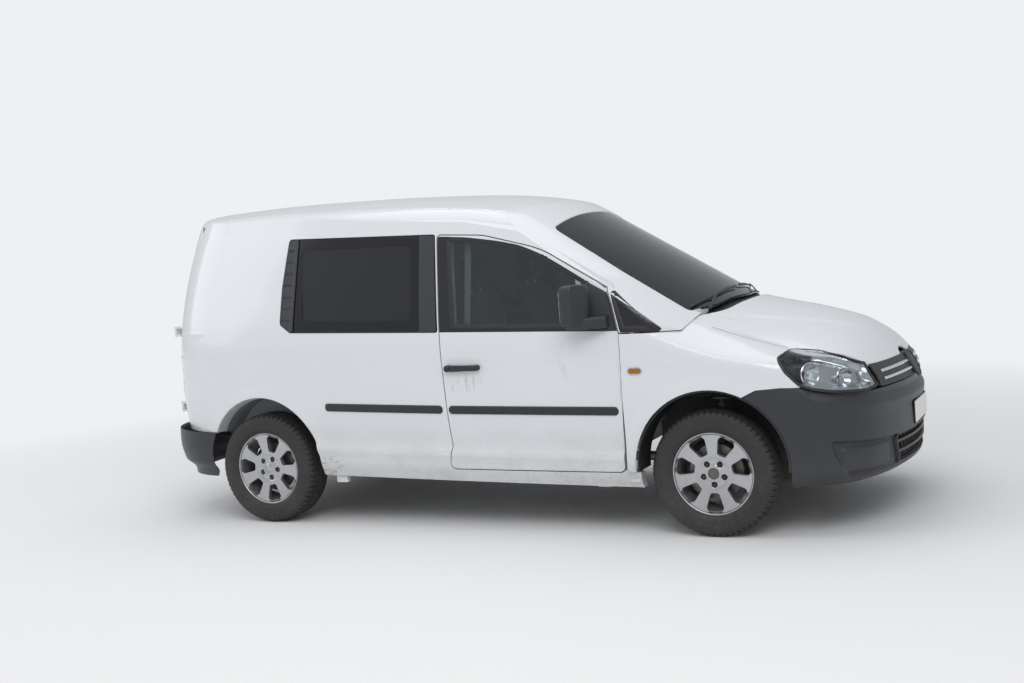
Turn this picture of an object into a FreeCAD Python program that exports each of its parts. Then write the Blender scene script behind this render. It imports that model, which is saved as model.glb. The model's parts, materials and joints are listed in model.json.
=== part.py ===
import FreeCAD, Part
import math
import os

V = FreeCAD.Vector

# A small panel van: +X is forward, +Y is left, +Z is up, and the ground is at Z 0.
# All sizes are millimetres. The body stands slightly nose down on level wheels.

# Overall sizes
RAKE = 0.0225                 # fall of the body's level lines for each millimetre forward
SIDE_WALL = 62.0              # thickness of doors and lower side walls
UPPER_WALL = 42.0             # thickness of pillars and upper side walls
ROOF_WALL = 34.0              # roof skin with its lining
SHEET = 5.0                   # thickness of front wings and other single skins
BONNET_WALL = 20.0            # bonnet skin with its ribs
BUMPER_WALL = 14.0            # moulded bumper skin
GLASS = 5.0                   # thickness of every pane
PANEL_GAP = 6.0               # shut line between a moving panel and the body
SEAT_GAP = 0.3                # clearance at which one piece seats on another
GLASS_INSET = 3.0             # depth of a pane below the skin round it
RABBET = 16.0                 # width of the ledge that a pane or a door closes on
FIXED_SEAM = 0.4              # seam between two panels that are bolted up
LEDGE = 12.0                  # thickness of the ledge behind a door

# Wheels and tyres
FRONT_AXLE_X = 1325.0
WHEELBASE = 2682.0
REAR_AXLE_X = FRONT_AXLE_X - WHEELBASE
TYRE_RADIUS = 317.0
TYRE_WIDTH = 195.0
TYRE_OUTER_Y = 860.0          # outer sidewall from the centre plane
RIM_FLANGE_RADIUS = 208.0
RIM_SEAT_RADIUS = 190.0
RIM_WELL_RADIUS = 165.0
RIM_FACE_Y = 841.0            # outer face of the rim from the centre plane
RIM_WIDTH = 158.0
RIM_WALL = 7.0
RIM_OFFSET = 50.0             # mounting face outboard of the tyre's middle
SPOKE_COUNT = 7
HUB_BORE_RADIUS = 28.5
BOLT_CIRCLE_RADIUS = 56.0
BOLT_COUNT = 5
BOLT_HOLE_RADIUS = 11.0
ARCH_RADIUS = 389.0           # opening in the wings and sides
LINER_RADIUS = 379.0          # outside of the arch liners
FRONT_ARCH = (1330.0, 350.0)
REAR_ARCH = (-1348.0, 347.0)

# Body section by height: level z at mid length, half width, rear x, front x
BODY_LEVELS = (
    (262.0, 842.0, -2090.0, 1500.0),
    (345.0, 876.0, -2100.0, 1500.0),
    (415.0, 889.0, -2110.0, 1500.0),
    (458.0, 876.0, -2125.0, 1500.0),
    (680.0, 896.0, -2140.0, 1500.0),
    (925.0, 891.0, -2140.0, 1500.0),
    (1075.0, 872.0, -2136.0, 1500.0),
    (1330.0, 814.0, -2112.0, 1500.0),
    (1600.0, 746.0, -2055.0, 1500.0),
    (1850.0, 678.0, -1985.0, 1500.0),
)

# Nose section by height: level z, half width, rear x, front x
NOSE_LEVELS = (
    (286.0, 842.0, -2100.0, 2120.0),
    (330.0, 870.0, -2100.0, 2176.0),
    (390.0, 884.0, -2100.0, 2200.0),
    (488.0, 884.0, -2100.0, 2203.0),
    (738.0, 895.0, -2100.0, 2190.0),
    (808.0, 893.0, -2100.0, 2165.0),
    (878.0, 892.0, -2100.0, 2115.0),
    (950.0, 888.0, -2100.0, 2050.0),
    (1130.0, 862.0, -2100.0, 1920.0),
)

# Tail bumper section by height: level z, half width, rear x, front x
TAIL_LEVELS = (
    (262.0, 850.0, -2150.0, 1500.0),
    (310.0, 880.0, -2188.0, 1500.0),
    (420.0, 894.0, -2203.0, 1500.0),
    (505.0, 893.0, -2200.0, 1500.0),
)

# Roof line: station x, height z on the centre line
ROOF_STATIONS = (
    (-2250.0, 1808.0),
    (-1800.0, 1829.0),
    (-1400.0, 1838.0),
    (-900.0, 1831.0),
    (-400.0, 1812.0),
    (0.0, 1785.0),
    (300.0, 1732.0),
    (480.0, 1674.0),
    (640.0, 1625.0),
    (1600.0, 1500.0),
)
CROWN_HALF = 640.0            # half width of the roof's crown
CROWN_DROP = 64.0             # fall of the crown at its edge
CANT_HALF = 722.0
CANT_DROP = 126.0

# Bonnet and wing tops: station x, centre z, shut line z, wing z, shoulder z
BONNET_STATIONS = (
    (850.0, 1290.0, 1205.0, 1165.0, 1080.0),
    (1400.0, 1128.0, 1008.0, 962.0, 880.0),
    (1720.0, 1056.0, 905.0, 884.0, 830.0),
    (1910.0, 993.0, 862.0, 850.0, 800.0),
    (2030.0, 920.0, 812.0, 805.0, 770.0),
    (2125.0, 832.0, 762.0, 755.0, 740.0),
    (2300.0, 640.0, 600.0, 590.0, 580.0),
)
SHUT_HALF = 650.0
WING_HALF = 770.0
SHOULDER_HALF = 905.0

# Windscreen: a bent pane, part of a cylinder whose axis leans with the glass
SCREEN_TOP = (478.0, 1652.0)  # x and z on the centre line
SCREEN_SLOPE = 0.60           # fall for each millimetre forward
SCREEN_RADIUS = 2000.0


def flat_wire(points, place):
    """Closed wire of straight runs with round corners; points are (u, v, radius)."""
    count = len(points)
    edges = []
    previous_end = None
    first_start = None
    for i in range(count):
        u, v, radius = points[i]
        pu, pv, _ = points[i - 1]
        nu, nv, _ = points[(i + 1) % count]
        before = V(pu - u, pv - v, 0)
        after = V(nu - u, nv - v, 0)
        corner = V(u, v, 0)
        if radius <= 0:
            start = end = corner
            middle = None
        else:
            before.normalize()
            after.normalize()
            half = before.getAngle(after) / 2.0
            reach = radius / math.tan(half)
            start = corner + before * reach
            end = corner + after * reach
            inward = before + after
            inward.normalize()
            middle = corner + inward * (radius / math.sin(half) - radius)
        if previous_end is not None and previous_end.distanceToPoint(start) > 1e-6:
            edges.append(Part.LineSegment(place(previous_end), place(start)).toShape())
        if middle is not None:
            edges.append(Part.Arc(place(start), place(middle), place(end)).toShape())
        if first_start is None:
            first_start = start
        previous_end = end
    if previous_end.distanceToPoint(first_start) > 1e-6:
        edges.append(Part.LineSegment(place(previous_end), place(first_start)).toShape())
    return Part.Wire(edges)


def with_radius(points, radius=0.0):
    """Corner points as (u, v, radius), with one radius where none is given."""
    return [p if len(p) == 3 else (p[0], p[1], radius) for p in points]


def prism_y(points, y0, y1, radius=0.0):
    """Solid whose outline is drawn in side view, from y0 to y1."""
    wire = flat_wire(with_radius(points, radius), lambda p: V(p.x, y0, p.y))
    return Part.Face(wire).extrude(V(0, y1 - y0, 0))


def prism_x(points, x0, x1, radius=0.0):
    """Solid whose outline is drawn in end view (y, z), from x0 to x1."""
    wire = flat_wire(with_radius(points, radius), lambda p: V(x0, p.x, p.y))
    return Part.Face(wire).extrude(V(x1 - x0, 0, 0))


def prism_z(points, z0, z1, radius=0.0):
    """Solid whose outline is drawn in plan (x, y), from z0 to z1."""
    wire = flat_wire(with_radius(points, radius), lambda p: V(p.x, p.y, z0))
    return Part.Face(wire).extrude(V(0, 0, z1 - z0))


def block(x0, x1, y0, y1, z0, z1):
    """Plain box between two corners."""
    return Part.makeBox(x1 - x0, y1 - y0, z1 - z0, V(x0, y0, z0))


def rod(start, end, radius):
    """Solid round bar between two points."""
    run = end - start
    return Part.makeCylinder(radius, run.Length, start, run)


def across(x, z, radius, y0, y1):
    """Cylinder that lies across the vehicle."""
    return Part.makeCylinder(radius, y1 - y0, V(x, y0, z), V(0, 1, 0))


def mirrored(shape):
    """The same piece on the other side of the vehicle."""
    return shape.mirror(V(0, 0, 0), V(0, 1, 0))


def solids_of(shape, smallest=2000.0):
    """Compound of the solids in a shape, without slivers."""
    kept = [s for s in shape.Solids if s.Volume > smallest]
    if len(kept) == 1:
        return kept[0]
    return Part.makeCompound(kept)


def fuse_all(shapes):
    """One shape of several that meet."""
    result = shapes[0]
    if len(shapes) > 1:
        result = result.fuse(list(shapes[1:]))
    return result.removeSplitter()


def section_wire(level, inset=0.0, z_shift=0.0):
    """Plan outline of the body at one level, in arcs: tail, corners, sides and nose."""
    z, w, xr, xf = level
    w -= inset
    xr += inset
    xf -= inset
    z += z_shift
    tail = (xr + 40.0, 0.605 * w - 20.0)
    tail_corner = (xr + 157.0, w - 135.0)
    side_rear = (xr + 440.0, w - 35.0)
    side_mid = (-100.0, w)
    side_front = (xf - 520.0, w - 24.0)
    nose_corner = (xf - 273.0, w - 100.0)
    nose = (xf - 108.0, 600.0 + (w - 897.0))

    def at(point, side=1.0):
        return V(point[0], side * point[1], z - RAKE * point[0])

    edges = [Part.Arc(at(tail, -1), at((xr, 0.0)), at(tail)).toShape()]
    for a, b, c in ((tail, tail_corner, side_rear), (side_rear, side_mid, side_front),
                    (side_front, nose_corner, nose)):
        edges.append(Part.Arc(at(a), at(b), at(c)).toShape())
    edges.append(Part.Arc(at(nose), at((xf, 0.0)), at(nose, -1)).toShape())
    for a, b, c in ((nose, nose_corner, side_front), (side_front, side_mid, side_rear),
                    (side_rear, tail_corner, tail)):
        edges.append(Part.Arc(at(a, -1), at(b, -1), at(c, -1)).toShape())
    return Part.Wire(edges)


def body_loft(levels, inset=0.0, z_shift=0.0):
    """Solid through the plan outlines of a table of levels."""
    return Part.makeLoft([section_wire(level, inset, z_shift) for level in levels], True, True)


def roof_loft(drop=0.0, inset=0.0):
    """Solid under the roof line, with its crown and rounded cant edges."""
    wires = []
    for x, centre in ROOF_STATIONS:
        z = centre - drop
        half = CROWN_HALF - inset
        cant = CANT_HALF - inset
        low = z - 400.0
        bottom = 100.0
        wide = 1000.0
        p = [V(x, -wide, bottom), V(x, wide, bottom), V(x, wide, low), V(x, cant, z - CANT_DROP),
             V(x, (half + cant) / 2 + 10.0, z - (CROWN_DROP + CANT_DROP) / 2 + 9.0),
             V(x, half, z - CROWN_DROP)]
        q = [V(x, -a.y, a.z) for a in p]
        edges = [Part.LineSegment(p[0], p[1]).toShape(), Part.LineSegment(p[1], p[2]).toShape(),
                 Part.LineSegment(p[2], p[3]).toShape(), Part.Arc(p[3], p[4], p[5]).toShape(),
                 Part.Arc(p[5], V(x, 0, z), q[5]).toShape(), Part.Arc(q[5], q[4], q[3]).toShape(),
                 Part.LineSegment(q[3], q[2]).toShape(), Part.LineSegment(q[2], p[0]).toShape()]
        wires.append(Part.Wire(edges))
    return Part.makeLoft(wires, True, True)


def bonnet_loft(drop=0.0):
    """Solid under the bonnet and the tops of the front wings."""
    wires = []
    for x, centre, shut, wing, shoulder in BONNET_STATIONS:
        bottom = 100.0
        wide = 1000.0
        p = [V(x, -wide, bottom), V(x, wide, bottom), V(x, wide, shoulder - drop - 60.0),
             V(x, SHOULDER_HALF, shoulder - drop), V(x, WING_HALF, wing - drop),
             V(x, SHUT_HALF, shut - drop)]
        q = [V(x, -a.y, a.z) for a in p]
        edges = [Part.LineSegment(p[0], p[1]).toShape(), Part.LineSegment(p[1], p[2]).toShape(),
                 Part.LineSegment(p[2], p[3]).toShape(), Part.Arc(p[3], p[4], p[5]).toShape(),
                 Part.Arc(p[5], V(x, 0, centre - drop), q[5]).toShape(),
                 Part.Arc(q[5], q[4], q[3]).toShape(),
                 Part.LineSegment(q[3], q[2]).toShape(), Part.LineSegment(q[2], p[0]).toShape()]
        wires.append(Part.Wire(edges))
    return Part.makeLoft(wires, True, True)


def screen_cylinder(depth=0.0):
    """Everything behind the windscreen's outer face, less a depth."""
    run = V(1.0, 0, -SCREEN_SLOPE)
    run.normalize()
    normal = V(-run.z, 0, run.x)
    top = V(SCREEN_TOP[0], 0, SCREEN_TOP[1])
    start = top - normal * SCREEN_RADIUS - run * 3200.0
    return Part.makeCylinder(SCREEN_RADIUS - depth, 5200.0, start, run)


def grown(wire, distance):
    """Flat wire moved outwards, or inwards where the distance is negative."""
    return wire.makeOffset2D(distance)


def side_wire(points, radius=0.0):
    """Outline drawn in side view, in the plane Y 0."""
    return flat_wire(with_radius(points, radius), lambda p: V(p.x, 0, p.y))


def plan_wire(points, radius=0.0):
    """Outline drawn in plan, in the plane Z 0."""
    return flat_wire(with_radius(points, radius), lambda p: V(p.x, p.y, 0))


def rear_wire(points, radius=0.0):
    """Outline drawn in end view, in the plane X 0."""
    return flat_wire(with_radius(points, radius), lambda p: V(0, p.x, p.y))


def swept(wire, start, run):
    """Solid from a flat wire, moved by start and swept along run."""
    face = Part.Face(wire)
    face.translate(start)
    return face.extrude(run)


def left_prism(wire, depth=760.0):
    """Sweep of a side view outline through the left side of the body."""
    return swept(wire, V(0, 1000.0 - depth, 0), V(0, depth, 0))


def wall_at(level):
    """Wall thickness of the cab and load space at a level."""
    return SIDE_WALL if level < 1000.0 else UPPER_WALL


def inner_loft(extra=0.0):
    """Solid of the space inside the walls, made smaller by extra."""
    levels = []
    for i, (z, w, xr, xf) in enumerate(BODY_LEVELS):
        t = wall_at(z) + extra
        low = 90.0 if i == 0 else 0.0
        levels.append((z - low, w - t, xr + t, xf - t))
    return body_loft(levels)


POST_BACK = 944.0             # upright plate in front of a front door, which holds its hinges
POST_INNER = 768.0

# Outlines on the side of the body, in side view (x, z, corner radius)
DOOR_OUTLINE = (
    (-123.0, 337.0, 30.0), (-95.0, 460.0, 60.0), (-108.0, 720.0, 200.0), (-124.0, 1010.0, 60.0),
    (-163.0, 1589.0, 18.0), (110.0, 1570.0, 400.0), (452.0, 1478.0, 600.0),
    (815.0, 1259.0, 25.0), (846.0, 1172.0, 90.0), (881.0, 1037.0, 60.0),
    (889.0, 950.0, 60.0), (889.0, 699.0, 100.0), (872.0, 325.0, 30.0),
)
DOOR_GLASS_OUTLINE = (
    (-60.0, 1094.0, 14.0), (-102.0, 1566.0, 14.0), (100.0, 1547.0, 400.0), (395.0, 1473.0, 600.0),
    (700.0, 1302.0, 14.0), (642.0, 1069.0, 14.0),
)
QUARTER_GLASS_OUTLINE = (
    (840.0, 1232.0, 12.0), (905.0, 1049.0, 10.0), (1062.0, 1046.0, 12.0),
)
SIDE_GLASS_OUTLINE = (
    (-1104.0, 1103.0, 30.0), (-1174.0, 1152.0, 20.0), (-1170.0, 1350.0, 200.0),
    (-1137.0, 1628.0, 20.0), (-178.0, 1594.0, 12.0), (-141.0, 1074.0, 12.0),
)
LOUVRE_OUTLINE = (
    (-1107.0, 1110.0, 24.0), (-1168.0, 1155.0, 16.0), (-1164.0, 1350.0, 200.0),
    (-1132.0, 1622.0, 16.0), (-1072.0, 1620.0, 4.0), (-1084.0, 1109.0, 4.0),
)
PILLAR_STRIP_OUTLINE = (
    (-250.0, 1083.0, 4.0), (-272.0, 1591.0, 4.0), (-184.0, 1588.0, 6.0), (-149.0, 1080.0, 6.0),
)
RUB_STRIPS = (                # rear and front ends (x, middle z), half height
    ((-888.0, 679.0), (-133.0, 660.0), 23.0),
    ((-96.0, 659.0), (866.0, 640.0), 22.5),
)
WING_OUTLINE = (
    (895.0, 335.0), (895.0, 699.0), (895.0, 950.0), (887.5, 1030.0), (1193.0, 1028.0),
    (1262.0, 1119.0), (1262.0, 1400.0), (2034.0, 1400.0), (2034.0, 738.0),
    (1779.0, 740.0), (1689.0, 742.0), (1570.0, 733.0), (1499.0, 698.0), (1330.0, 640.0),
    (960.0, 326.0),
)
HEADLAMP_OUTLINE = (
    (1668.0, 884.0, 6.0), (1699.0, 909.0, 14.0), (1832.0, 893.0, 120.0), (1940.0, 863.0, 120.0),
    (2032.0, 822.0, 14.0), (2100.0, 705.0, 14.0), (2057.0, 692.0, 40.0), (1930.0, 703.0, 200.0),
    (1840.0, 722.0, 120.0), (1774.0, 747.0, 60.0), (1712.0, 811.0, 60.0),
)
BUMPER_OUTLINE = (
    (1300.0, 100.0), (1330.0, 640.0), (1499.0, 696.0), (1570.0, 731.0), (1689.0, 740.0),
    (1779.0, 738.0), (1840.0, 719.0), (1930.0, 700.0), (2057.0, 689.0), (2300.0, 689.0),
    (2300.0, 100.0),
)
TAIL_BUMPER_OUTLINE = (
    (-2300.0, 100.0), (-2300.0, 548.0), (-2100.0, 545.0), (-1665.0, 527.0), (-1500.0, 520.0),
    (-1500.0, 100.0),
)

# Outlines in plan (x, y, corner radius)
BONNET_OUTLINE = (
    (1192.0, 662.0, 12.0), (1330.0, 440.0, 400.0), (1402.0, 0.0, 1500.0), (1330.0, -440.0, 400.0),
    (1192.0, -662.0, 12.0), (1450.0, -668.0, 600.0), (1720.0, -648.0, 600.0),
    (1905.0, -606.0, 300.0), (2300.0, -470.0, 0.0), (2300.0, 470.0, 0.0),
    (1905.0, 606.0, 300.0), (1720.0, 648.0, 600.0), (1450.0, 668.0, 600.0),
)
COWL_OUTLINE = (
    (1200.0, 612.0, 10.0), (1262.0, 420.0, 500.0), (1312.0, 0.0, 900.0), (1262.0, -420.0, 500.0),
    (1200.0, -612.0, 10.0), (1230.0, -630.0, 10.0), (1370.0, -440.0, 400.0),
    (1442.0, 0.0, 1500.0), (1370.0, 440.0, 400.0), (1230.0, 630.0, 10.0),
)
SCREEN_OUTLINE = (
    (440.0, 560.0, 40.0), (476.0, 0.0, 3000.0), (440.0, -560.0, 40.0), (820.0, -603.0, 2000.0),
    (1187.0, -622.0, 30.0), (1275.0, -420.0, 600.0), (1328.0, 0.0, 900.0), (1275.0, 420.0, 600.0),
    (1187.0, 622.0, 30.0), (820.0, 603.0, 2000.0),
)

# Rear doors, in end view (y, z); the left door is the wider one
REAR_SPLIT_Y = -170.0
REAR_DOOR_BOTTOM = 556.0
REAR_DOOR_TOP = 1744.0
REAR_DOOR_LOW_HALF = 690.0
REAR_DOOR_TOP_HALF = 612.0
REAR_BELT = 1090.0
REAR_GLASS_MARGIN = 92.0      # frame of a rear door round its glass
REAR_GLASS_BOTTOM = 1130.0
REAR_GLASS_TOP = 1655.0

# Jacking pads under the sills
JACK_PADS = ((-860.0, 300.0), (740.0, 275.0))
JACK_PAD_LENGTH = 70.0
JACK_PAD_WIDTH = 28.0
JACK_PAD_INNER = 794.0
JACK_PAD_Z = 240.0

# Front doors turn on pins inside the front edge; rear doors on pins outside the corner
DOOR_PIN = (929.0, 862.0)
DOOR_PIN_HEIGHTS = (600.0, 840.0)
KNUCKLE_RADIUS = 9.0
KNUCKLE_HALF = 18.0
EDGE_SWEEP = 52.0             # radius about the pin that the door's front edge keeps clear behind its skin
EDGE_SKIN_Y = 883.0
HINGE_ROOM = 32.0             # half height of the recess in the side at a front hinge
REAR_PIN_PROUD = 18.0         # rear hinge pins from the skin
REAR_PIN_HEIGHTS = (668.0, 1128.0)
BONNET_PIN = (1184.0, 1086.0)
LIP_WEB = 6.0                 # gutter and lip of a wing under the edge of the bonnet
LIP_REACH = 16.0
LIP_ENDS = (1290.0, 1640.0)
PIN_RADIUS = 5.0
BONNET_FRONT_Z = 812.0        # front edge of the bonnet above the grille
RUNNING_FIT = 0.05            # radial clearance of a pin or shaft in its bore

os.makedirs("parts", exist_ok=True)


def save(name, shape):
    """Write one piece to its own file."""
    shape.exportStep("parts/" + name + ".step")


# Main surfaces of the cab and load space, left half
half_space = block(-2400.0, 2400.0, 0.0, 1000.0, 0.0, 2100.0)


def half_loft(levels, inset=0.0):
    """Left half of a body loft."""
    return body_loft(levels, inset).common(half_space)


roof_cap = roof_loft().common(screen_cylinder())
roof_lining = roof_loft(ROOF_WALL, UPPER_WALL).common(screen_cylinder(UPPER_WALL))
outer_half = half_loft(BODY_LEVELS).common(roof_cap)
inner_half = inner_loft().common(half_space)
shell_half = outer_half.cut(inner_half.common(roof_lining))
pane_half = half_loft(BODY_LEVELS, GLASS_INSET)
pane_seat = half_loft(BODY_LEVELS, GLASS_INSET + GLASS + SEAT_GAP)
pane_skin = pane_half.cut(half_loft(BODY_LEVELS, GLASS_INSET + GLASS))


def glazed(panel, outline, direction=left_prism, wire_of=side_wire):
    """Panel with a stepped opening for a pane."""
    wire = wire_of(outline)
    step = direction(grown(wire, FIXED_SEAM)).cut(pane_seat)
    hole = direction(grown(wire, -RABBET))
    return panel.cut(step.fuse(hole))


def left_and_right(name, shape):
    """Write a left piece and its mirror image."""
    save(name + "_left", shape)
    save(name + "_right", mirrored(shape))


def arm(start, end, width, z0, z1):
    """Flat bar in plan from start to end, between two heights."""
    run = V(end[0] - start[0], end[1] - start[1], 0)
    run.normalize()
    side_step = V(-run.y, run.x, 0) * (width / 2)
    a = V(start[0], start[1], z0)
    b = V(end[0], end[1], z0)
    corners = [a + side_step, b + side_step, b - side_step, a - side_step]
    return Part.Face(Part.makePolygon(corners + corners[:1])).extrude(V(0, 0, z1 - z0))


def upright(point, radius, z0, z1):
    """Vertical cylinder at a plan point."""
    return Part.makeCylinder(radius, z1 - z0, V(point[0], point[1], z0))


def front_hinge(z):
    """Door half and body half of a front hinge: a cranked arm turning on a pin."""
    x, y = DOOR_PIN
    low = z - KNUCKLE_HALF
    high = z + KNUCKLE_HALF
    door_half = fuse_all([
        upright(DOOR_PIN, KNUCKLE_RADIUS, low, high),
        prism_z([(x - 9.0, y), (x + 9.0, y), (x + 9.0, 800.0), (x - 9.0, 800.0)], low, high),
        prism_z([(x + 9.0, 796.0), (x + 9.0, 811.0), (842.0, 811.0), (842.0, 796.0)], low, high),
        prism_z([(842.0, 796.0), (866.0, 796.0), (866.0, 834.0), (842.0, 834.0)], low, high),
    ]).cut(upright(DOOR_PIN, PIN_RADIUS + RUNNING_FIT, low - 1.0, high + 1.0))
    leaves = []
    for z0, z1 in ((low - 12.5, low - 0.5), (high + 0.5, high + 12.5)):
        leaves.append(upright(DOOR_PIN, KNUCKLE_RADIUS, z0, z1))
        leaves.append(prism_z([(x - 4.0, y - 8.0), (x + 4.0, y + 8.0), (950.0, y + 2.0),
                               (950.0, y - 40.0), (x + 2.0, y - 20.0)], z0, z1))
    leaves.append(upright(DOOR_PIN, PIN_RADIUS, low - 14.0, high + 14.0))
    return door_half, fuse_all(leaves)


def corner_skin(y, level=900.0):
    """Point of the body's rear corner at a distance from the centre, and its outward normal."""
    w = 891.5
    xr = -2140.0
    corner = Part.Arc(V(xr + 40.0, 0.605 * w - 20.0, 0), V(xr + 157.0, w - 135.0, 0),
                      V(xr + 440.0, w - 35.0, 0)).toShape().Curve
    centre = corner.Center
    x = centre.x - math.sqrt(corner.Radius ** 2 - (y - centre.y) ** 2)
    point = V(x, y, 0)
    normal = point - centre
    normal.normalize()
    return point, normal


split_point, split_normal = corner_skin(REAR_DOOR_LOW_HALF + PANEL_GAP / 2)
REAR_PIN = split_point + split_normal * REAR_PIN_PROUD


def rear_hinge(z):
    """Door half and body half of a rear hinge, which stands out of the corner."""
    pin = (REAR_PIN.x, REAR_PIN.y)
    low = z - KNUCKLE_HALF
    high = z + KNUCKLE_HALF
    door_skin, door_normal = corner_skin(REAR_DOOR_LOW_HALF - 16.0)
    body_skin, body_normal = corner_skin(REAR_DOOR_LOW_HALF + PANEL_GAP + 16.0)
    door_end = door_skin - door_normal * 10.0
    body_end = body_skin - body_normal * 10.0
    door_half = upright(pin, KNUCKLE_RADIUS, low, high).fuse(
        arm(pin, (door_end.x, door_end.y), 14.0, low, high))
    door_half = door_half.cut(upright(pin, PIN_RADIUS + RUNNING_FIT, low - 1.0, high + 1.0))
    leaves = [upright(pin, PIN_RADIUS, low - 14.0, high + 14.0)]
    for z0, z1 in ((low - 12.5, low - 0.5), (high + 0.5, high + 12.5)):
        leaves.append(upright(pin, KNUCKLE_RADIUS, z0, z1))
        leaves.append(arm(pin, (body_end.x, body_end.y), 14.0, z0, z1))
    return door_half, fuse_all(leaves)


# Front doors: skin, frame and trim in one piece, with a stepped opening for the glass
door_wire = side_wire(DOOR_OUTLINE)
door = outer_half.common(left_prism(door_wire)).cut(inner_half)
door = glazed(door, DOOR_GLASS_OUTLINE)
door_glass = pane_skin.common(left_prism(side_wire(DOOR_GLASS_OUTLINE)))


def door_ledge(wire):
    """Flange of the side that the closed door lies against, and its root in the wall."""
    inside = left_prism(grown(wire, -RABBET))
    face = inner_loft(SEAT_GAP).cut(inner_loft(LEDGE)).common(left_prism(grown(wire, 26.0)))
    root = inner_loft(-4.0).cut(inner_loft(LEDGE)).common(left_prism(grown(wire, 26.0)))
    root = root.cut(left_prism(grown(wire, PANEL_GAP)))
    return face.cut(inside).fuse(root)


# Sides: sill, pillars, cant rail and rear quarter, with door and window openings
side = shell_half.cut(block(-2400.0, 700.0, -10.0, CROWN_HALF, 0.0, 2100.0))
side = side.cut(block(699.0, 1600.0, -10.0, 480.0, 0.0, 2100.0))
side = side.cut(left_prism(grown(door_wire, PANEL_GAP)))
side = side.fuse(door_ledge(door_wire))
front_trim = prism_y([(893.0, 200.0), (893.0, 699.0), (893.0, 950.0), (886.0, 1033.0),
                      (1195.0, 1032.0), (1262.0, 1123.0), (1262.0, 1400.0), (1700.0, 1400.0),
                      (1700.0, 200.0)], 100.0, 1000.0)
sill_front = prism_y([(880.0, 200.0), (960.0, 200.0), (955.0, 326.0), (880.0, 330.0)],
                     750.0, 1000.0)
side = side.cut(front_trim.cut(sill_front))
side = side.cut(across(REAR_ARCH[0], REAR_ARCH[1], ARCH_RADIUS, 600.0, 1000.0))
side = side.cut(across(FRONT_ARCH[0], FRONT_ARCH[1], ARCH_RADIUS, 600.0, 1000.0))
side = glazed(side, SIDE_GLASS_OUTLINE)
side = glazed(side, QUARTER_GLASS_OUTLINE)
screen_wire = plan_wire(SCREEN_OUTLINE)
screen_hole = swept(grown(screen_wire, -RABBET), V(0, 0, 0), V(0, 0, 2000.0))
screen_step = swept(grown(screen_wire, FIXED_SEAM), V(0, 0, 0), V(0, 0, 2000.0)).cut(
    screen_cylinder(GLASS_INSET + GLASS + SEAT_GAP))
side = side.cut(screen_hole.fuse(screen_step))
bonnet_wire = plan_wire(BONNET_OUTLINE)
cowl_wire = plan_wire(COWL_OUTLINE)
bonnet_hole = swept(grown(bonnet_wire, PANEL_GAP), V(0, 0, 500.0), V(0, 0, 900.0)).common(
    block(1100.0, 2400.0, -1000.0, 1000.0, BONNET_FRONT_Z - PANEL_GAP, 1400.0))
side = side.cut(bonnet_hole).cut(swept(grown(cowl_wire, SEAT_GAP), V(0, 0, 700.0), V(0, 0, 700.0)))
side_glass = pane_skin.common(left_prism(side_wire(SIDE_GLASS_OUTLINE)).fuse(
    left_prism(side_wire(QUARTER_GLASS_OUTLINE))))


def rear_door_outline(y0, y1):
    """Outline of one rear door in end view, between its split edge and its hinge edge."""
    sign = 1.0 if y1 > 0 else -1.0
    low = sign * REAR_DOOR_LOW_HALF
    top = sign * REAR_DOOR_TOP_HALF
    return ((y0, REAR_DOOR_BOTTOM, 8.0), (low, REAR_DOOR_BOTTOM, 40.0), (low, REAR_BELT, 300.0),
            (top, REAR_DOOR_TOP, 70.0), (y0, REAR_DOOR_TOP, 8.0))


def rear_prism(wire, depth=700.0):
    """Sweep of an end view outline through the rear of the body."""
    return swept(wire, V(-2400.0, 0, 0), V(depth, 0, 0))


both_rear_doors = ((-REAR_DOOR_LOW_HALF, REAR_DOOR_BOTTOM, 40.0),
                   (REAR_DOOR_LOW_HALF, REAR_DOOR_BOTTOM, 40.0),
                   (REAR_DOOR_LOW_HALF, REAR_BELT, 300.0),
                   (REAR_DOOR_TOP_HALF, REAR_DOOR_TOP, 70.0),
                   (-REAR_DOOR_TOP_HALF, REAR_DOOR_TOP, 70.0),
                   (-REAR_DOOR_LOW_HALF, REAR_BELT, 300.0))
rear_hole = rear_prism(grown(rear_wire(both_rear_doors), PANEL_GAP))
side = side.cut(rear_hole)
side = side.cut(prism_y(TAIL_BUMPER_OUTLINE, 500.0, 1000.0))
tail_lamp_zone = prism_x([(600.0, 748.0), (1000.0, 748.0), (1000.0, 1046.0), (600.0, 1046.0)],
                         -2300.0, -1962.0)
side = side.cut(tail_lamp_zone)
side = solids_of(side)
for z in DOOR_PIN_HEIGHTS:
    side = side.cut(block(858.0, POST_BACK - 0.4, 700.0, 846.0, z - HINGE_ROOM, z + HINGE_ROOM))
side = side.cut(block(870.0, 894.0, 846.0, 1000.0, 334.0, 1030.0))
side = side.cut(block(858.0, 894.0, 700.0, 846.0, DOOR_PIN_HEIGHTS[0], DOOR_PIN_HEIGHTS[1]))
post = block(POST_BACK, POST_BACK + 18.0, POST_INNER, 846.0, 290.0, 1050.0)
post = post.cut(across(FRONT_ARCH[0], FRONT_ARCH[1], LINER_RADIUS + 8.0 + SEAT_GAP,
                       600.0, 1000.0))
foot_plate = block(896.0, POST_BACK + 2.0, 786.0, 846.0, 272.0, 320.0)
head_plate = block(905.0, POST_BACK + 18.0, POST_INNER, 840.0, 1034.0, 1050.0)
door_hinges = []
side_hinges = [post, foot_plate, head_plate]
for z in DOOR_PIN_HEIGHTS:
    door_hinge, side_hinge = front_hinge(z)
    door_hinges.append(door_hinge)
    side_hinges.append(side_hinge)
side = solids_of(side.fuse(side_hinges))
door = door.cut(upright(DOOR_PIN, EDGE_SWEEP, 300.0, 1060.0).common(
    block(800.0, 1000.0, 700.0, EDGE_SKIN_Y, 300.0, 1060.0)))
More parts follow.
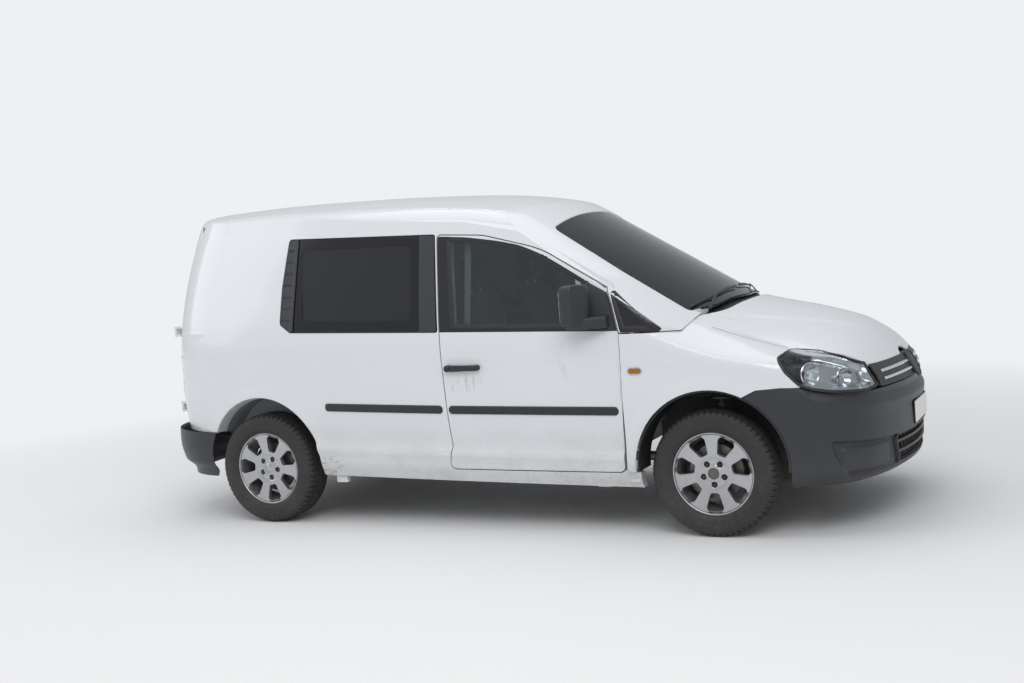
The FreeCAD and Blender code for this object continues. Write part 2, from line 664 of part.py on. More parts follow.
door = door.fuse(door_hinges)
rear_left_hinges = [rear_hinge(z) for z in REAR_PIN_HEIGHTS]
side = side.fuse([h[1] for h in rear_left_hinges])
side = solids_of(side.fuse([block(x - JACK_PAD_LENGTH / 2, x + JACK_PAD_LENGTH / 2, JACK_PAD_INNER,
                                  JACK_PAD_INNER + JACK_PAD_WIDTH, JACK_PAD_Z, z_top)
                            for x, z_top in JACK_PADS]))
left_and_right("side", side)
left_and_right("door", door)
left_and_right("door_glass", door_glass)
side_glass = solids_of(side_glass.cut(side), 20000.0)
save("side_glass", Part.makeCompound([side_glass, mirrored(side_glass)]))

# Roof with its front and rear headers
roof = shell_half.common(block(-2400.0, 699.0, -10.0, CROWN_HALF - FIXED_SEAM, 1300.0, 2100.0))
roof = roof.fuse(mirrored(roof))
roof = roof.cut(screen_hole.fuse(screen_step)).cut(rear_hole)
roof = solids_of(roof)
save("roof", roof)
windscreen = screen_cylinder(GLASS_INSET).cut(screen_cylinder(GLASS_INSET + GLASS)).common(
    swept(screen_wire, V(0, 0, 900.0), V(0, 0, 1100.0)))
windscreen = solids_of(windscreen)
save("windscreen", windscreen)

# Rear doors, each with a pane, cut from the rear wall
rear_shell = shell_half.common(block(-2400.0, -1880.0, -10.0, 1000.0, 200.0, 2100.0))
rear_shell = rear_shell.fuse(mirrored(rear_shell)).removeSplitter()
rear_pane_seat = pane_seat.common(block(-2400.0, -1800.0, -10.0, 1000.0, 200.0, 2100.0))
rear_pane_seat = rear_pane_seat.fuse(mirrored(rear_pane_seat))
rear_skin = pane_skin.common(block(-2400.0, -1800.0, -10.0, 1000.0, 200.0, 2100.0))
rear_skin = rear_skin.fuse(mirrored(rear_skin)).removeSplitter()


def rear_door(split, side_sign):
    """One rear door and its glass; split is its free edge."""
    wire = rear_wire(rear_door_outline(split, side_sign))
    panel = rear_shell.common(rear_prism(wire))
    reach = REAR_DOOR_TOP_HALF + (REAR_DOOR_TOP - REAR_GLASS_TOP) * 0.12 - REAR_GLASS_MARGIN
    low_reach = REAR_DOOR_LOW_HALF - REAR_GLASS_MARGIN - 14.0
    inner = split + side_sign * REAR_GLASS_MARGIN * 0.75
    glass_wire = rear_wire(((inner, REAR_GLASS_BOTTOM, 30.0),
                            (side_sign * low_reach, REAR_GLASS_BOTTOM, 45.0),
                            (side_sign * reach, REAR_GLASS_TOP, 45.0),
                            (inner, REAR_GLASS_TOP, 30.0)))
    step = rear_prism(grown(glass_wire, FIXED_SEAM)).cut(rear_pane_seat)
    panel = panel.cut(step.fuse(rear_prism(grown(glass_wire, -RABBET))))
    return solids_of(panel), solids_of(rear_skin.common(rear_prism(glass_wire)))


for name, split, sign in (("left", REAR_SPLIT_Y + PANEL_GAP / 2, 1.0),
                          ("right", REAR_SPLIT_Y - PANEL_GAP / 2, -1.0)):
    panel, glass = rear_door(split, sign)
    halves = [h[0] if sign > 0 else mirrored(h[0]) for h in rear_left_hinges]
    panel = panel.fuse(halves)
    save("rear_door_" + name, panel)
    save("rear_glass_" + name, glass)

# Tail lamps fill the corners beside the rear doors
lamp = outer_half.common(tail_lamp_zone).cut(half_loft(BODY_LEVELS, 40.0)).cut(
    rear_prism(grown(rear_wire(both_rear_doors), PANEL_GAP + 4.0)))
lamp = solids_of(lamp)
save("tail_lamps", Part.makeCompound([lamp, mirrored(lamp)]))

# Front end: wings, bonnet, lamps, grille and bumper from one nose surface
bonnet_cap = bonnet_loft()
nose_half = half_loft(NOSE_LEVELS).common(block(880.0, 2400.0, -10.0, 1000.0, 200.0, 1400.0))
front_half = nose_half.common(bonnet_cap)


def front_inner(depth):
    """Inside of the nose, below its skin by a depth."""
    return half_loft(NOSE_LEVELS, depth).common(bonnet_loft(depth))


bonnet_zone = swept(bonnet_wire, V(0, 0, 500.0), V(0, 0, 900.0))
sheet_half = front_half.cut(front_inner(SHEET))
headlamp_wire = side_wire(HEADLAMP_OUTLINE)
bumper_zone = prism_y(BUMPER_OUTLINE, -1000.0, 1000.0)
wing = sheet_half.common(prism_y(WING_OUTLINE, 480.0, 1000.0))
wing = wing.cut(bonnet_hole).cut(left_prism(grown(headlamp_wire, FIXED_SEAM)))
wing = wing.cut(across(FRONT_ARCH[0], FRONT_ARCH[1], ARCH_RADIUS, 400.0, 1000.0))
wing = wing.cut(block(1700.0, 2400.0, -10.0, 1000.0, 200.0, 760.0))
lip_zone = swept(grown(bonnet_wire, PANEL_GAP + LIP_WEB), V(0, 0, 500.0), V(0, 0, 900.0)).common(
    block(LIP_ENDS[0], LIP_ENDS[1], 480.0, 1000.0, 700.0, 1400.0))
lip_depth = BONNET_WALL + SEAT_GAP
lip = bonnet_loft(lip_depth).cut(bonnet_loft(lip_depth + LIP_WEB)).common(lip_zone).cut(
    swept(grown(bonnet_wire, -LIP_REACH), V(0, 0, 500.0), V(0, 0, 900.0)))
web = front_half.cut(bonnet_loft(lip_depth + LIP_WEB)).common(lip_zone).cut(bonnet_hole)
wing = wing.fuse([lip, web])
wing = solids_of(wing, 20000.0)
left_and_right("fender", wing)

headlamp = front_half.common(left_prism(headlamp_wire, 620.0)).cut(front_inner(90.0))
headlamp = solids_of(headlamp.cut(bonnet_hole), 20000.0)
save("headlamps", Part.makeCompound([headlamp, mirrored(headlamp)]))

bonnet_half = front_half.cut(front_inner(BONNET_WALL)).common(bonnet_zone).common(
    block(1100.0, 2400.0, 0.0, 1000.0, BONNET_FRONT_Z, 1400.0))
bonnet = solids_of(bonnet_half.fuse(mirrored(bonnet_half)).removeSplitter())
save("bonnet", bonnet)

grille_zone = prism_x([(-528.0, 698.0), (528.0, 698.0), (528.0, BONNET_FRONT_Z - PANEL_GAP),
                       (-528.0, BONNET_FRONT_Z - PANEL_GAP)], 1900.0, 2300.0, 6.0)
grille_half = front_half.cut(front_inner(40.0)).common(grille_zone)
grille_half = grille_half.cut(left_prism(grown(headlamp_wire, FIXED_SEAM)))
grille = solids_of(grille_half.fuse(mirrored(grille_half)).removeSplitter(), 20000.0)
save("grille", grille)

bumper_half = nose_half.common(bumper_zone).cut(half_loft(NOSE_LEVELS, BUMPER_WALL))
bumper_half = bumper_half.cut(across(FRONT_ARCH[0], FRONT_ARCH[1], ARCH_RADIUS, 400.0, 1000.0))
intake = prism_x([(-470.0, 306.0), (470.0, 306.0), (440.0, 436.0), (-440.0, 436.0)],
                 2000.0, 2300.0, 12.0)
bumper_half = bumper_half.cut(intake)
bumper = solids_of(bumper_half.fuse(mirrored(bumper_half)).removeSplitter(), 20000.0)
save("front_bumper", bumper)

tail_zone = prism_y(TAIL_BUMPER_OUTLINE, -1000.0, 1000.0)
tail_zone.translate(V(0, 0, -FIXED_SEAM))
tail_half = half_loft(TAIL_LEVELS).cut(half_loft(TAIL_LEVELS, BUMPER_WALL)).common(tail_zone)
tail_half = tail_half.cut(across(REAR_ARCH[0], REAR_ARCH[1], ARCH_RADIUS, 400.0, 1000.0))
tail = solids_of(tail_half.fuse(mirrored(tail_half)).removeSplitter(), 20000.0)
save("rear_bumper", tail)


def turned(profile):
    """Ring turned about the Y axis from (radius, y) points."""
    edges = [V(r, y, 0) for r, y in profile]
    wire = Part.makePolygon(edges + [edges[0]])
    return Part.Face(wire).revolve(V(0, 0, 0), V(0, 1, 0), 360)


SPINDLE_RADIUS = 28.0
BORE_SKIN = 4.0               # metal left in a ring before its bore is cut round
TURN_SIDES = 48               # flat facets round a wheel's rings, with a corner at the bottom


def faceted(profile):
    """Ring of flat facets about the Y axis from (radius, y) points."""
    def at(point, i):
        angle = 2.0 * math.pi * i / TURN_SIDES
        return V(point[0] * math.cos(angle), point[1], point[0] * math.sin(angle))

    faces = []
    for start, end in zip(profile, profile[1:] + profile[:1]):
        for i in range(TURN_SIDES):
            corners = [at(start, i), at(end, i), at(end, i + 1), at(start, i + 1)]
            faces.append(Part.Face(Part.makePolygon(corners + corners[:1])))
    shell = Part.makeShell(faces)
    shell.sewShape()
    ring = Part.Solid(shell)
    if ring.Volume < 0:
        ring.reverse()
    return ring.removeSplitter()


# Wheel, outer face towards +Y, on the centre of its axle
tyre_middle = TYRE_OUTER_Y - TYRE_WIDTH / 2
rim_inner_y = RIM_FACE_Y - RIM_WIDTH
mount_y = tyre_middle + RIM_OFFSET
tyre_inner_y = TYRE_OUTER_Y - TYRE_WIDTH
tyre = faceted([
    (RIM_SEAT_RADIUS + SEAT_GAP, rim_inner_y + 9.0), (RIM_FLANGE_RADIUS + 3.0, rim_inner_y + 7.0),
    (RIM_FLANGE_RADIUS + 44.0, tyre_inner_y), (TYRE_RADIUS - 22.0, tyre_inner_y + 6.0),
    (TYRE_RADIUS, tyre_inner_y + 26.0), (TYRE_RADIUS, TYRE_OUTER_Y - 26.0),
    (TYRE_RADIUS - 22.0, TYRE_OUTER_Y - 6.0), (RIM_FLANGE_RADIUS + 44.0, TYRE_OUTER_Y),
    (RIM_FLANGE_RADIUS + 3.0, RIM_FACE_Y - 7.0), (RIM_SEAT_RADIUS + SEAT_GAP, RIM_FACE_Y - 9.0)])


def rim(capped):
    """Seven-spoke rim; the cap over the hub is fitted or missing."""
    y0 = rim_inner_y
    y1 = RIM_FACE_Y
    flange = RIM_FLANGE_RADIUS
    bead = RIM_SEAT_RADIUS
    well = RIM_WELL_RADIUS
    face_back = mount_y + 4.0
    barrel = faceted([
        (flange, y0), (bead, y0 + 8.5), (bead, y0 + 34.0), (well, y0 + 52.0),
        (well, y1 - 62.0), (bead, y1 - 40.0), (bead, y1 - 8.5), (flange, y1 - 6.0), (flange, y1),
        (flange - RIM_WALL, y1), (bead - RIM_WALL, y1 - 8.0), (bead - RIM_WALL, y1 - 38.0),
        (well - RIM_WALL, y1 - 60.0), (well - RIM_WALL, y0 + 50.0), (flange - RIM_WALL, y0)])
    disc = faceted([
        (HUB_BORE_RADIUS - BORE_SKIN, mount_y), (72.0, mount_y), (84.0, face_back),
        (bead - 2.0, face_back - 6.0), (bead - 2.0, y1 - 11.0), (150.0, y1 - 2.0), (96.0, y1 - 7.0),
        (76.0, y1 - 16.0), (40.0, y1 - 15.0), (HUB_BORE_RADIUS - BORE_SKIN, y1 - 19.0)])
    window = [(-15.0, -108.0, 8.0), (15.0, -108.0, 8.0), (40.0, -186.0, 14.0),
              (-40.0, -186.0, 14.0)]
    cutter = prism_y(window, mount_y - 30.0, y1 + 10.0)
    holes = [across(0.0, 0.0, HUB_BORE_RADIUS, mount_y - 1.0, y1)]
    for i in range(SPOKE_COUNT):
        hole = cutter.copy()
        hole.rotate(V(0, 0, 0), V(0, 1, 0), 360.0 * i / SPOKE_COUNT)
        holes.append(hole)
    for i in range(BOLT_COUNT):
        angle = math.radians(360.0 * i / BOLT_COUNT - 90.0)
        holes.append(across(BOLT_CIRCLE_RADIUS * math.cos(angle),
                            BOLT_CIRCLE_RADIUS * math.sin(angle),
                            BOLT_HOLE_RADIUS, mount_y - 1.0, y1))
    whole = barrel.fuse(disc.cut(holes[0].multiFuse(holes[1:])))
    if capped:
        whole = whole.fuse(turned([(0.0, y1 - 16.0), (40.0, y1 - 16.0), (36.0, y1 - 8.0),
                                   (0.0, y1 - 5.0)]))
    return whole.removeSplitter()


DISC_RADIUS = 140.0
DISC_THICKNESS = 20.0
disc_back = mount_y - 46.0
hub = faceted([
    (SPINDLE_RADIUS - BORE_SKIN, disc_back - 6.0), (66.0, disc_back - 6.0),
    (84.0, disc_back), (DISC_RADIUS, disc_back), (DISC_RADIUS, disc_back + DISC_THICKNESS),
    (84.0, disc_back + DISC_THICKNESS), (80.0, mount_y - SEAT_GAP),
    (SPINDLE_RADIUS - BORE_SKIN, mount_y - SEAT_GAP)])
hub = hub.cut(across(0.0, 0.0, SPINDLE_RADIUS + RUNNING_FIT, disc_back - 7.0, mount_y))
spindle_end = mount_y + 12.0

for axle, x, capped in (("front", FRONT_AXLE_X, False), ("rear", REAR_AXLE_X, True)):
    rim_left = rim(capped)
    wheel_left = Part.makeCompound([rim_left, hub])
    centre = V(x, 0, TYRE_RADIUS)
    wheel_left.translate(centre)
    tyre_left = tyre.copy()
    tyre_left.translate(centre)
    save("wheel_" + axle + "_left", wheel_left)
    save("wheel_" + axle + "_right", mirrored(wheel_left))
    save("tyre_" + axle + "_left", tyre_left)
    save("tyre_" + axle + "_right", mirrored(tyre_left))

# Steering knuckle: carrier, spindle, ball joint, steering arm and spring strut on one axis
BALL_JOINT = V(FRONT_AXLE_X, 700.0, 214.0)
STRUT_TOP = V(FRONT_AXLE_X, 574.0, 874.0)
TOWER_Z = 860.0
STRUT_RADIUS = 22.0
ROD_RADIUS = 9.0
JOINT_RADIUS = 36.0           # boot of the drive shaft's outer joint
DRIVE_SHAFT_RADIUS = 14.0
steer_axis = STRUT_TOP - BALL_JOINT


def on_steer_axis(z):
    """Point of the steering axis at a height."""
    return BALL_JOINT + steer_axis * ((z - BALL_JOINT.z) / steer_axis.z)


def wheel_point(x, y):
    """Point at axle height beside a wheel."""
    return V(x, y, TYRE_RADIUS)


knuckle = rod(wheel_point(FRONT_AXLE_X, 668.0), wheel_point(FRONT_AXLE_X, 752.0), 46.0)
knuckle = knuckle.fuse([
    rod(wheel_point(FRONT_AXLE_X, 740.0), wheel_point(FRONT_AXLE_X, spindle_end), SPINDLE_RADIUS),
    rod(on_steer_axis(226.0), on_steer_axis(300.0), 16.0),
    prism_x([(684.0, 236.0), (712.0, 236.0), (730.0, 300.0), (690.0, 330.0)],
            FRONT_AXLE_X - 24.0, FRONT_AXLE_X + 24.0),
    prism_x([(700.0, 340.0), (668.0, 420.0), (640.0, 440.0), (626.0, 420.0), (652.0, 340.0)],
            FRONT_AXLE_X - 22.0, FRONT_AXLE_X + 22.0),
    Part.makeSphere(JOINT_RADIUS, on_steer_axis(TYRE_RADIUS)),
    rod(on_steer_axis(420.0), on_steer_axis(640.0), STRUT_RADIUS),
    rod(on_steer_axis(630.0), on_steer_axis(TOWER_Z + 24.0), ROD_RADIUS),
    rod(on_steer_axis(655.0), on_steer_axis(665.0), 52.0),
    rod(on_steer_axis(TOWER_Z - 34.0), on_steer_axis(TOWER_Z - 20.0), 50.0),
    rod(V(FRONT_AXLE_X, 684.0, 290.0), V(FRONT_AXLE_X - 128.0, 664.0, 290.0), 12.0),
])
knuckle = knuckle.removeSplitter()
left_and_right("knuckle", knuckle)

# Floor: load floor over the axle, cab floor, bulkhead to the engine bay, and wheel boxes
FLOOR_HALF = 832.0
LOAD_FLOOR_Z = 560.0
CAB_FLOOR_Z = 372.0
FLOOR_THICK = 36.0
BULKHEAD_X = 964.0
REAR_DOOR_ROOM = 20.0         # gap between the load floor and the swinging rear doors
floor_top = [(-2092.0, LOAD_FLOOR_Z), (-330.0, LOAD_FLOOR_Z), (-215.0, CAB_FLOOR_Z),
             (700.0, CAB_FLOOR_Z), (BULKHEAD_X - 20.0, 560.0), (BULKHEAD_X - 20.0, 1010.0)]
floor_low = [(BULKHEAD_X + 10.0, 1010.0), (BULKHEAD_X + 10.0, 548.0),
             (716.0, CAB_FLOOR_Z - FLOOR_THICK), (-236.0, CAB_FLOOR_Z - FLOOR_THICK),
             (-350.0, LOAD_FLOOR_Z - FLOOR_THICK), (-2092.0, LOAD_FLOOR_Z - FLOOR_THICK)]
floor_pan = prism_y(floor_top + floor_low, -FLOOR_HALF, FLOOR_HALF)
floor_pan = floor_pan.common(inner_loft(SEAT_GAP))
floor_pan = floor_pan.cut(block(-2200.0, -1960.0, -760.0, 760.0, 400.0, 700.0).cut(
    inner_loft(REAR_DOOR_ROOM)))
corner_room = block(-2200.0, -1918.0, 596.0, 780.0, 400.0, 700.0)
floor_pan = floor_pan.cut(corner_room).cut(mirrored(corner_room))
BOX_RADIUS = 402.0
BOX_INNER_Y = 618.0
for sign in (1.0, -1.0):
    low, high = sorted((sign * BOX_INNER_Y, sign * 900.0))
    room_low, room_high = sorted((sign * (BOX_INNER_Y + 14.0), sign * 900.0))
    box = across(REAR_ARCH[0], REAR_ARCH[1], BOX_RADIUS, low, high)
    box = box.common(block(-2000.0, -800.0, low, high, LOAD_FLOOR_Z - FLOOR_THICK, 900.0))
    box = box.common(inner_loft(SEAT_GAP))
    room = across(REAR_ARCH[0], REAR_ARCH[1], LINER_RADIUS, room_low, room_high)
    front_room = across(FRONT_ARCH[0], FRONT_ARCH[1], LINER_RADIUS, sorted((sign * 470.0,
                        sign * 900.0))[0], sorted((sign * 470.0, sign * 900.0))[1])
    floor_pan = floor_pan.fuse(box).cut(room.fuse(front_room))
ledge_zone = left_prism(grown(door_wire, 27.0)).cut(inner_loft(LEDGE + SEAT_GAP))
post_zone = block(820.0, 1000.0, POST_INNER - SEAT_GAP, 900.0, 100.0, 1100.0)
side_zone = ledge_zone.fuse(post_zone)
floor_pan = floor_pan.cut(side_zone).cut(mirrored(side_zone))
floor_pan = solids_of(floor_pan.removeSplitter(), 20000.0)
save("floor_pan", floor_pan)

# Arch liners over the front wheels
liner = across(FRONT_ARCH[0], FRONT_ARCH[1], LINER_RADIUS + 8.0, 692.0, 870.0).cut(
    across(FRONT_ARCH[0], FRONT_ARCH[1], LINER_RADIUS, 600.0, 900.0))
liner = liner.cut(block(900.0, 1800.0, 600.0, 900.0, -100.0, 330.0))
liner = liner.common(front_inner(SHEET + SEAT_GAP))
liner = solids_of(liner, 5000.0)
save("arch_liners", Part.makeCompound([liner, mirrored(liner)]))

# Scuttle panel between the windscreen and the bonnet
COWL_DROP = BONNET_WALL + 6.0
cowl = swept(cowl_wire, V(0, 0, 700.0), V(0, 0, 700.0)).common(
    bonnet_loft(COWL_DROP).cut(bonnet_loft(COWL_DROP + 10.0)))
cowl = solids_of(cowl, 5000.0)
save("cowl", cowl)

# Subframe: rails, cross members, radiator panel, strut towers and lower arms
RAIL_INNER = 400.0
RAIL_OUTER = 468.0
RAIL_LOW = 470.0
RAIL_HIGH = 580.0
CRADLE_TOP = 252.0
frame_parts = []
for sign in (1.0, -1.0):
    def strip(x0, x1, y0, y1, z0, z1):
        low, high = sorted((sign * y0, sign * y1))
        return block(x0, x1, low, high, z0, z1)
    frame_parts += [
        strip(BULKHEAD_X + 10.0 + SEAT_GAP, 2090.0, RAIL_INNER, RAIL_OUTER,
              RAIL_LOW, RAIL_HIGH),
        strip(1120.0, 1180.0, RAIL_INNER, RAIL_OUTER, 230.0, RAIL_LOW + 1.0),
        strip(1470.0, 1530.0, RAIL_INNER, RAIL_OUTER, 230.0, RAIL_LOW + 1.0),
        strip(1230.0, 1420.0, RAIL_OUTER - 14.0, RAIL_OUTER, RAIL_HIGH - 10.0, TOWER_Z + 12.0),
        strip(1230.0, 1420.0, RAIL_OUTER - 14.0, 640.0, TOWER_Z, TOWER_Z + 12.0),
    ]
    arm = prism_z([(1230.0, sign * 440.0), (1420.0, sign * 440.0), (1346.0, sign * 700.0),
                   (1304.0, sign * 700.0)], 200.0, 221.5, 0.0)
    frame_parts += [arm, rod(V(FRONT_AXLE_X, sign * 700.0, 200.0),
                             V(FRONT_AXLE_X, sign * 700.0, 221.5), 24.0)]
cradle = block(1090.0, 1560.0, -RAIL_OUTER, RAIL_OUTER, 196.0, CRADLE_TOP)
front_beam = block(2080.0, 2300.0, 0.0, 520.0, 430.0, 540.0).common(
    half_loft(NOSE_LEVELS, BUMPER_WALL + SEAT_GAP))
front_beam = front_beam.fuse(mirrored(front_beam)).removeSplitter()
radiator = block(1990.0, 2026.0, -RAIL_INNER - 4.0, RAIL_INNER + 4.0, 300.0, 680.0)
subframe = fuse_all(frame_parts + [cradle, front_beam, radiator])
for sign in (1.0, -1.0):
    low_point = V(on_steer_axis(TOWER_Z - 40.0))
    high_point = V(on_steer_axis(TOWER_Z + 60.0))
    hole = rod(low_point, high_point, ROD_RADIUS + RUNNING_FIT)
    subframe = subframe.cut(hole if sign > 0 else mirrored(hole))
save("front_subframe", subframe)

# Engine and gearbox as one plain block, with the two drive shafts
engine = block(1200.0, 1800.0, -385.0, 385.0, CRADLE_TOP + SEAT_GAP, 800.0)
shaft_end = on_steer_axis(TYRE_RADIUS).y - JOINT_RADIUS - SEAT_GAP
for sign in (1.0, -1.0):
    engine = engine.fuse(rod(wheel_point(FRONT_AXLE_X, sign * 380.0),
                             wheel_point(FRONT_AXLE_X, sign * shaft_end), DRIVE_SHAFT_RADIUS))
    engine = engine.fuse(rod(wheel_point(FRONT_AXLE_X, sign * 380.0),
                             wheel_point(FRONT_AXLE_X, sign * 450.0), JOINT_RADIUS))
save("engine", engine)

# Rear axle: beam, stub axles, leaf springs with hangers, and dampers
LEAF_Y = 560.0
axle_parts = [rod(V(REAR_AXLE_X, -700.0, TYRE_RADIUS), V(REAR_AXLE_X, 700.0, TYRE_RADIUS), 38.0)]
for sign in (1.0, -1.0):
    axle_parts.append(rod(V(REAR_AXLE_X, sign * 690.0, TYRE_RADIUS),
                          V(REAR_AXLE_X, sign * spindle_end, TYRE_RADIUS), SPINDLE_RADIUS))
    axle_parts.append(rod(V(REAR_AXLE_X, sign * 706.0, TYRE_RADIUS),
                          V(REAR_AXLE_X, sign * 736.0, TYRE_RADIUS), 118.0))
    leaf = prism_y([(-1940.0, 478.0), (-1640.0, 396.0, 500.0), (-1357.0, 352.0, 900.0),
                    (-1060.0, 396.0, 500.0), (-760.0, 478.0), (-760.0, 500.0),
                    (-1060.0, 420.0, 500.0), (-1357.0, 378.0, 900.0), (-1640.0, 420.0, 500.0),
                    (-1940.0, 500.0)], LEAF_Y - 30.0, LEAF_Y + 30.0)
    hangers = [block(-1950.0, -1910.0, LEAF_Y - 34.0, LEAF_Y + 34.0, 470.0,
                     LOAD_FLOOR_Z - FLOOR_THICK - SEAT_GAP),
               block(-790.0, -750.0, LEAF_Y - 34.0, LEAF_Y + 34.0, 470.0,
                     LOAD_FLOOR_Z - FLOOR_THICK - SEAT_GAP),
               block(-1400.0, -1314.0, LEAF_Y - 36.0, LEAF_Y + 36.0, 300.0, 386.0)]
    group = fuse_all([leaf] + hangers)
    axle_parts.append(group if sign > 0 else mirrored(group))
rear_axle = fuse_all(axle_parts)
save("rear_axle", rear_axle)

# Exhaust pipe and silencers, right of the tunnel
PIPE_RADIUS = 26.0
pipe_points = [V(1180.0, -300.0, 284.0), V(900.0, -190.0, 284.0), V(-700.0, -190.0, 284.0),
               V(-1130.0, -190.0, 440.0), V(-1640.0, -190.0, 440.0), V(-1700.0, -190.0, 440.0)]
pipe = [rod(a, b, PIPE_RADIUS) for a, b in zip(pipe_points[:-1], pipe_points[1:])]
pipe += [Part.makeSphere(PIPE_RADIUS, p) for p in pipe_points[1:-1]]
silencer = prism_x([(-330.0, 350.0), (-90.0, 350.0), (-90.0, 520.0 - 2.0), (-330.0, 518.0)],
                   -2020.0, -1690.0, 60.0)
front_box = prism_x([(-280.0, 226.0), (-100.0, 226.0), (-100.0, 335.5), (-280.0, 335.5)],
                    -100.0, 420.0, 50.0)
exhaust = fuse_all(pipe + [silencer, front_box])
save("exhaust", exhaust)

# Fuel tank under the load floor
tank = prism_y([(-960.0, 300.0, 50.0), (-420.0, 300.0, 50.0), (-380.0, 420.0, 60.0),
                (-380.0, 523.7, 10.0), (-960.0, 523.7, 10.0)], 60.0, 500.0)
save("fuel_tank", tank)

# Dashboard with its steering column
WHEEL_CENTRE = V(520.0, 370.0, 985.0)
COLUMN_TILT = math.radians(26.0)
column_axis = V(-math.cos(COLUMN_TILT), 0, math.sin(COLUMN_TILT))
dash = prism_y([(700.0, 760.0, 30.0), (690.0, 960.0, 40.0), (760.0, 1046.0, 60.0),
                (900.0, 1072.0, 40.0), (943.7, 1060.0), (943.7, 640.0), (880.0, 600.0, 30.0)],
               SEAT_GAP - POST_INNER, POST_INNER - SEAT_GAP)
dash = dash.common(inner_loft(20.0))
housing_end = WHEEL_CENTRE - column_axis * 70.0
column = rod(WHEEL_CENTRE - column_axis * 330.0, housing_end, 42.0)
COLUMN_RADIUS = 14.0
column_bore = rod(WHEEL_CENTRE - column_axis * 200.0, WHEEL_CENTRE, COLUMN_RADIUS + RUNNING_FIT)
dashboard = dash.fuse(column).cut(column_bore).removeSplitter()
save("dashboard", dashboard)

# Steering wheel: ring, three spokes, hub and shaft
RING_RADIUS = 182.0
ring_points = [V(RING_RADIUS + 15.0 * math.cos(a), 0, 15.0 * math.sin(a))
               for a in [math.radians(22.5 + 45.0 * i) for i in range(8)]]
ring = Part.Face(Part.makePolygon(ring_points + ring_points[:1])).revolve(
    V(0, 0, 0), V(0, 0, 1), 360)
hub_disc = Part.makeCylinder(52.0, 34.0, V(0, 0, -30.0))
spokes = [Part.makeBox(RING_RADIUS, 34.0, 14.0, V(0, -17.0, -18.0)) for _ in range(3)]
for spoke, angle in zip(spokes, (0.0, 180.0, 90.0)):
    spoke.rotate(V(0, 0, 0), V(0, 0, 1), angle)
shaft = Part.makeCylinder(COLUMN_RADIUS, 150.0, V(0, 0, -170.0))
steering = ring.fuse([hub_disc, shaft] + spokes)
steering.Placement = FreeCAD.Placement(WHEEL_CENTRE, FreeCAD.Rotation(V(0, 0, 1), column_axis))
save("steering_wheel", steering)

# Front seats: base, cushion, and back with its head restraint
seat_solids = []
for y in (370.0, -370.0):
    base = prism_y([(20.0, CAB_FLOOR_Z + SEAT_GAP), (470.0, CAB_FLOOR_Z + SEAT_GAP),
                    (450.0, 558.0), (40.0, 558.0)], y - 200.0, y + 200.0, 10.0)
    cushion = prism_y([(-20.0, 558.3), (520.0, 558.3), (556.0, 660.0), (500.0, 704.0),
                       (60.0, 684.0), (-20.0, 676.0)], y - 245.0, y + 245.0, 20.0)
    back = prism_y([(-110.0, 600.0), (-20.3, 600.0), (-20.3, 800.0), (-92.0, 1262.0),
                    (-172.0, 1246.0), (-128.0, 800.0)], y - 240.0, y + 240.0, 16.0)
    rest = prism_y([(-186.0, 1276.0), (-102.0, 1290.0), (-112.0, 1452.0), (-196.0, 1440.0)],
                   y - 130.0, y + 130.0, 22.0)
    posts = [rod(V(-134.0, y + side_y, 1240.0), V(-144.0, y + side_y, 1300.0), 7.0)
             for side_y in (-60.0, 60.0)]
    seat_solids += [base, cushion, fuse_all([back, rest] + posts)]
save("seats", Part.makeCompound(seat_solids))

# Plastic on the doors: mirror, corner plate, rub strip and handle
proud_skin = half_loft(BODY_LEVELS, -9.0).cut(half_loft(BODY_LEVELS, -SEAT_GAP))
thin_skin = half_loft(BODY_LEVELS, -4.0).cut(half_loft(BODY_LEVELS, -SEAT_GAP))
glass_skin = half_loft(BODY_LEVELS, -4.0).cut(half_loft(BODY_LEVELS, GLASS_INSET - SEAT_GAP))
MIRROR_OUTER = 1031.0
head = prism_x([(893.0, 1100.0, 30.0), (1000.0, 1076.0, 40.0), (MIRROR_OUTER, 1100.0, 40.0),
                (MIRROR_OUTER, 1290.0, 44.0), (893.0, 1290.0, 40.0)], 600.0, 800.0)
head = head.common(prism_z([(636.0, MIRROR_OUTER + 1.0, 14.0), (690.0, MIRROR_OUTER + 1.0, 40.0),
                            (744.0, 980.0, 60.0), (764.0, 880.0), (650.0, 880.0, 20.0)],
                           1000.0, 1400.0))
foot = prism_z([(660.0, 1000.0, 20.0), (742.0, 972.0, 40.0), (838.0, 872.0, 10.0),
                (836.0, 800.0), (720.0, 800.0), (700.0, 900.0, 30.0)], 1062.0, 1122.0)
foot = foot.cut(half_loft(BODY_LEVELS, -2.0))
corner_plate = thin_skin.common(left_prism(side_wire((
    (708.0, 1300.0, 8.0), (652.0, 1064.0, 8.0), (868.0, 1044.0, 8.0), (838.0, 1168.0, 60.0),
    (808.0, 1246.0, 8.0)))))
mirror = fuse_all([head, foot, corner_plate])


def strip_outline(rear, front, half):
    """Side view outline of a rub strip with its ends rounded."""
    return ((rear[0], rear[1] - half, 8.0), (front[0], front[1] - half, 8.0),
            (front[0], front[1] + half, 8.0), (rear[0], rear[1] + half, 8.0))


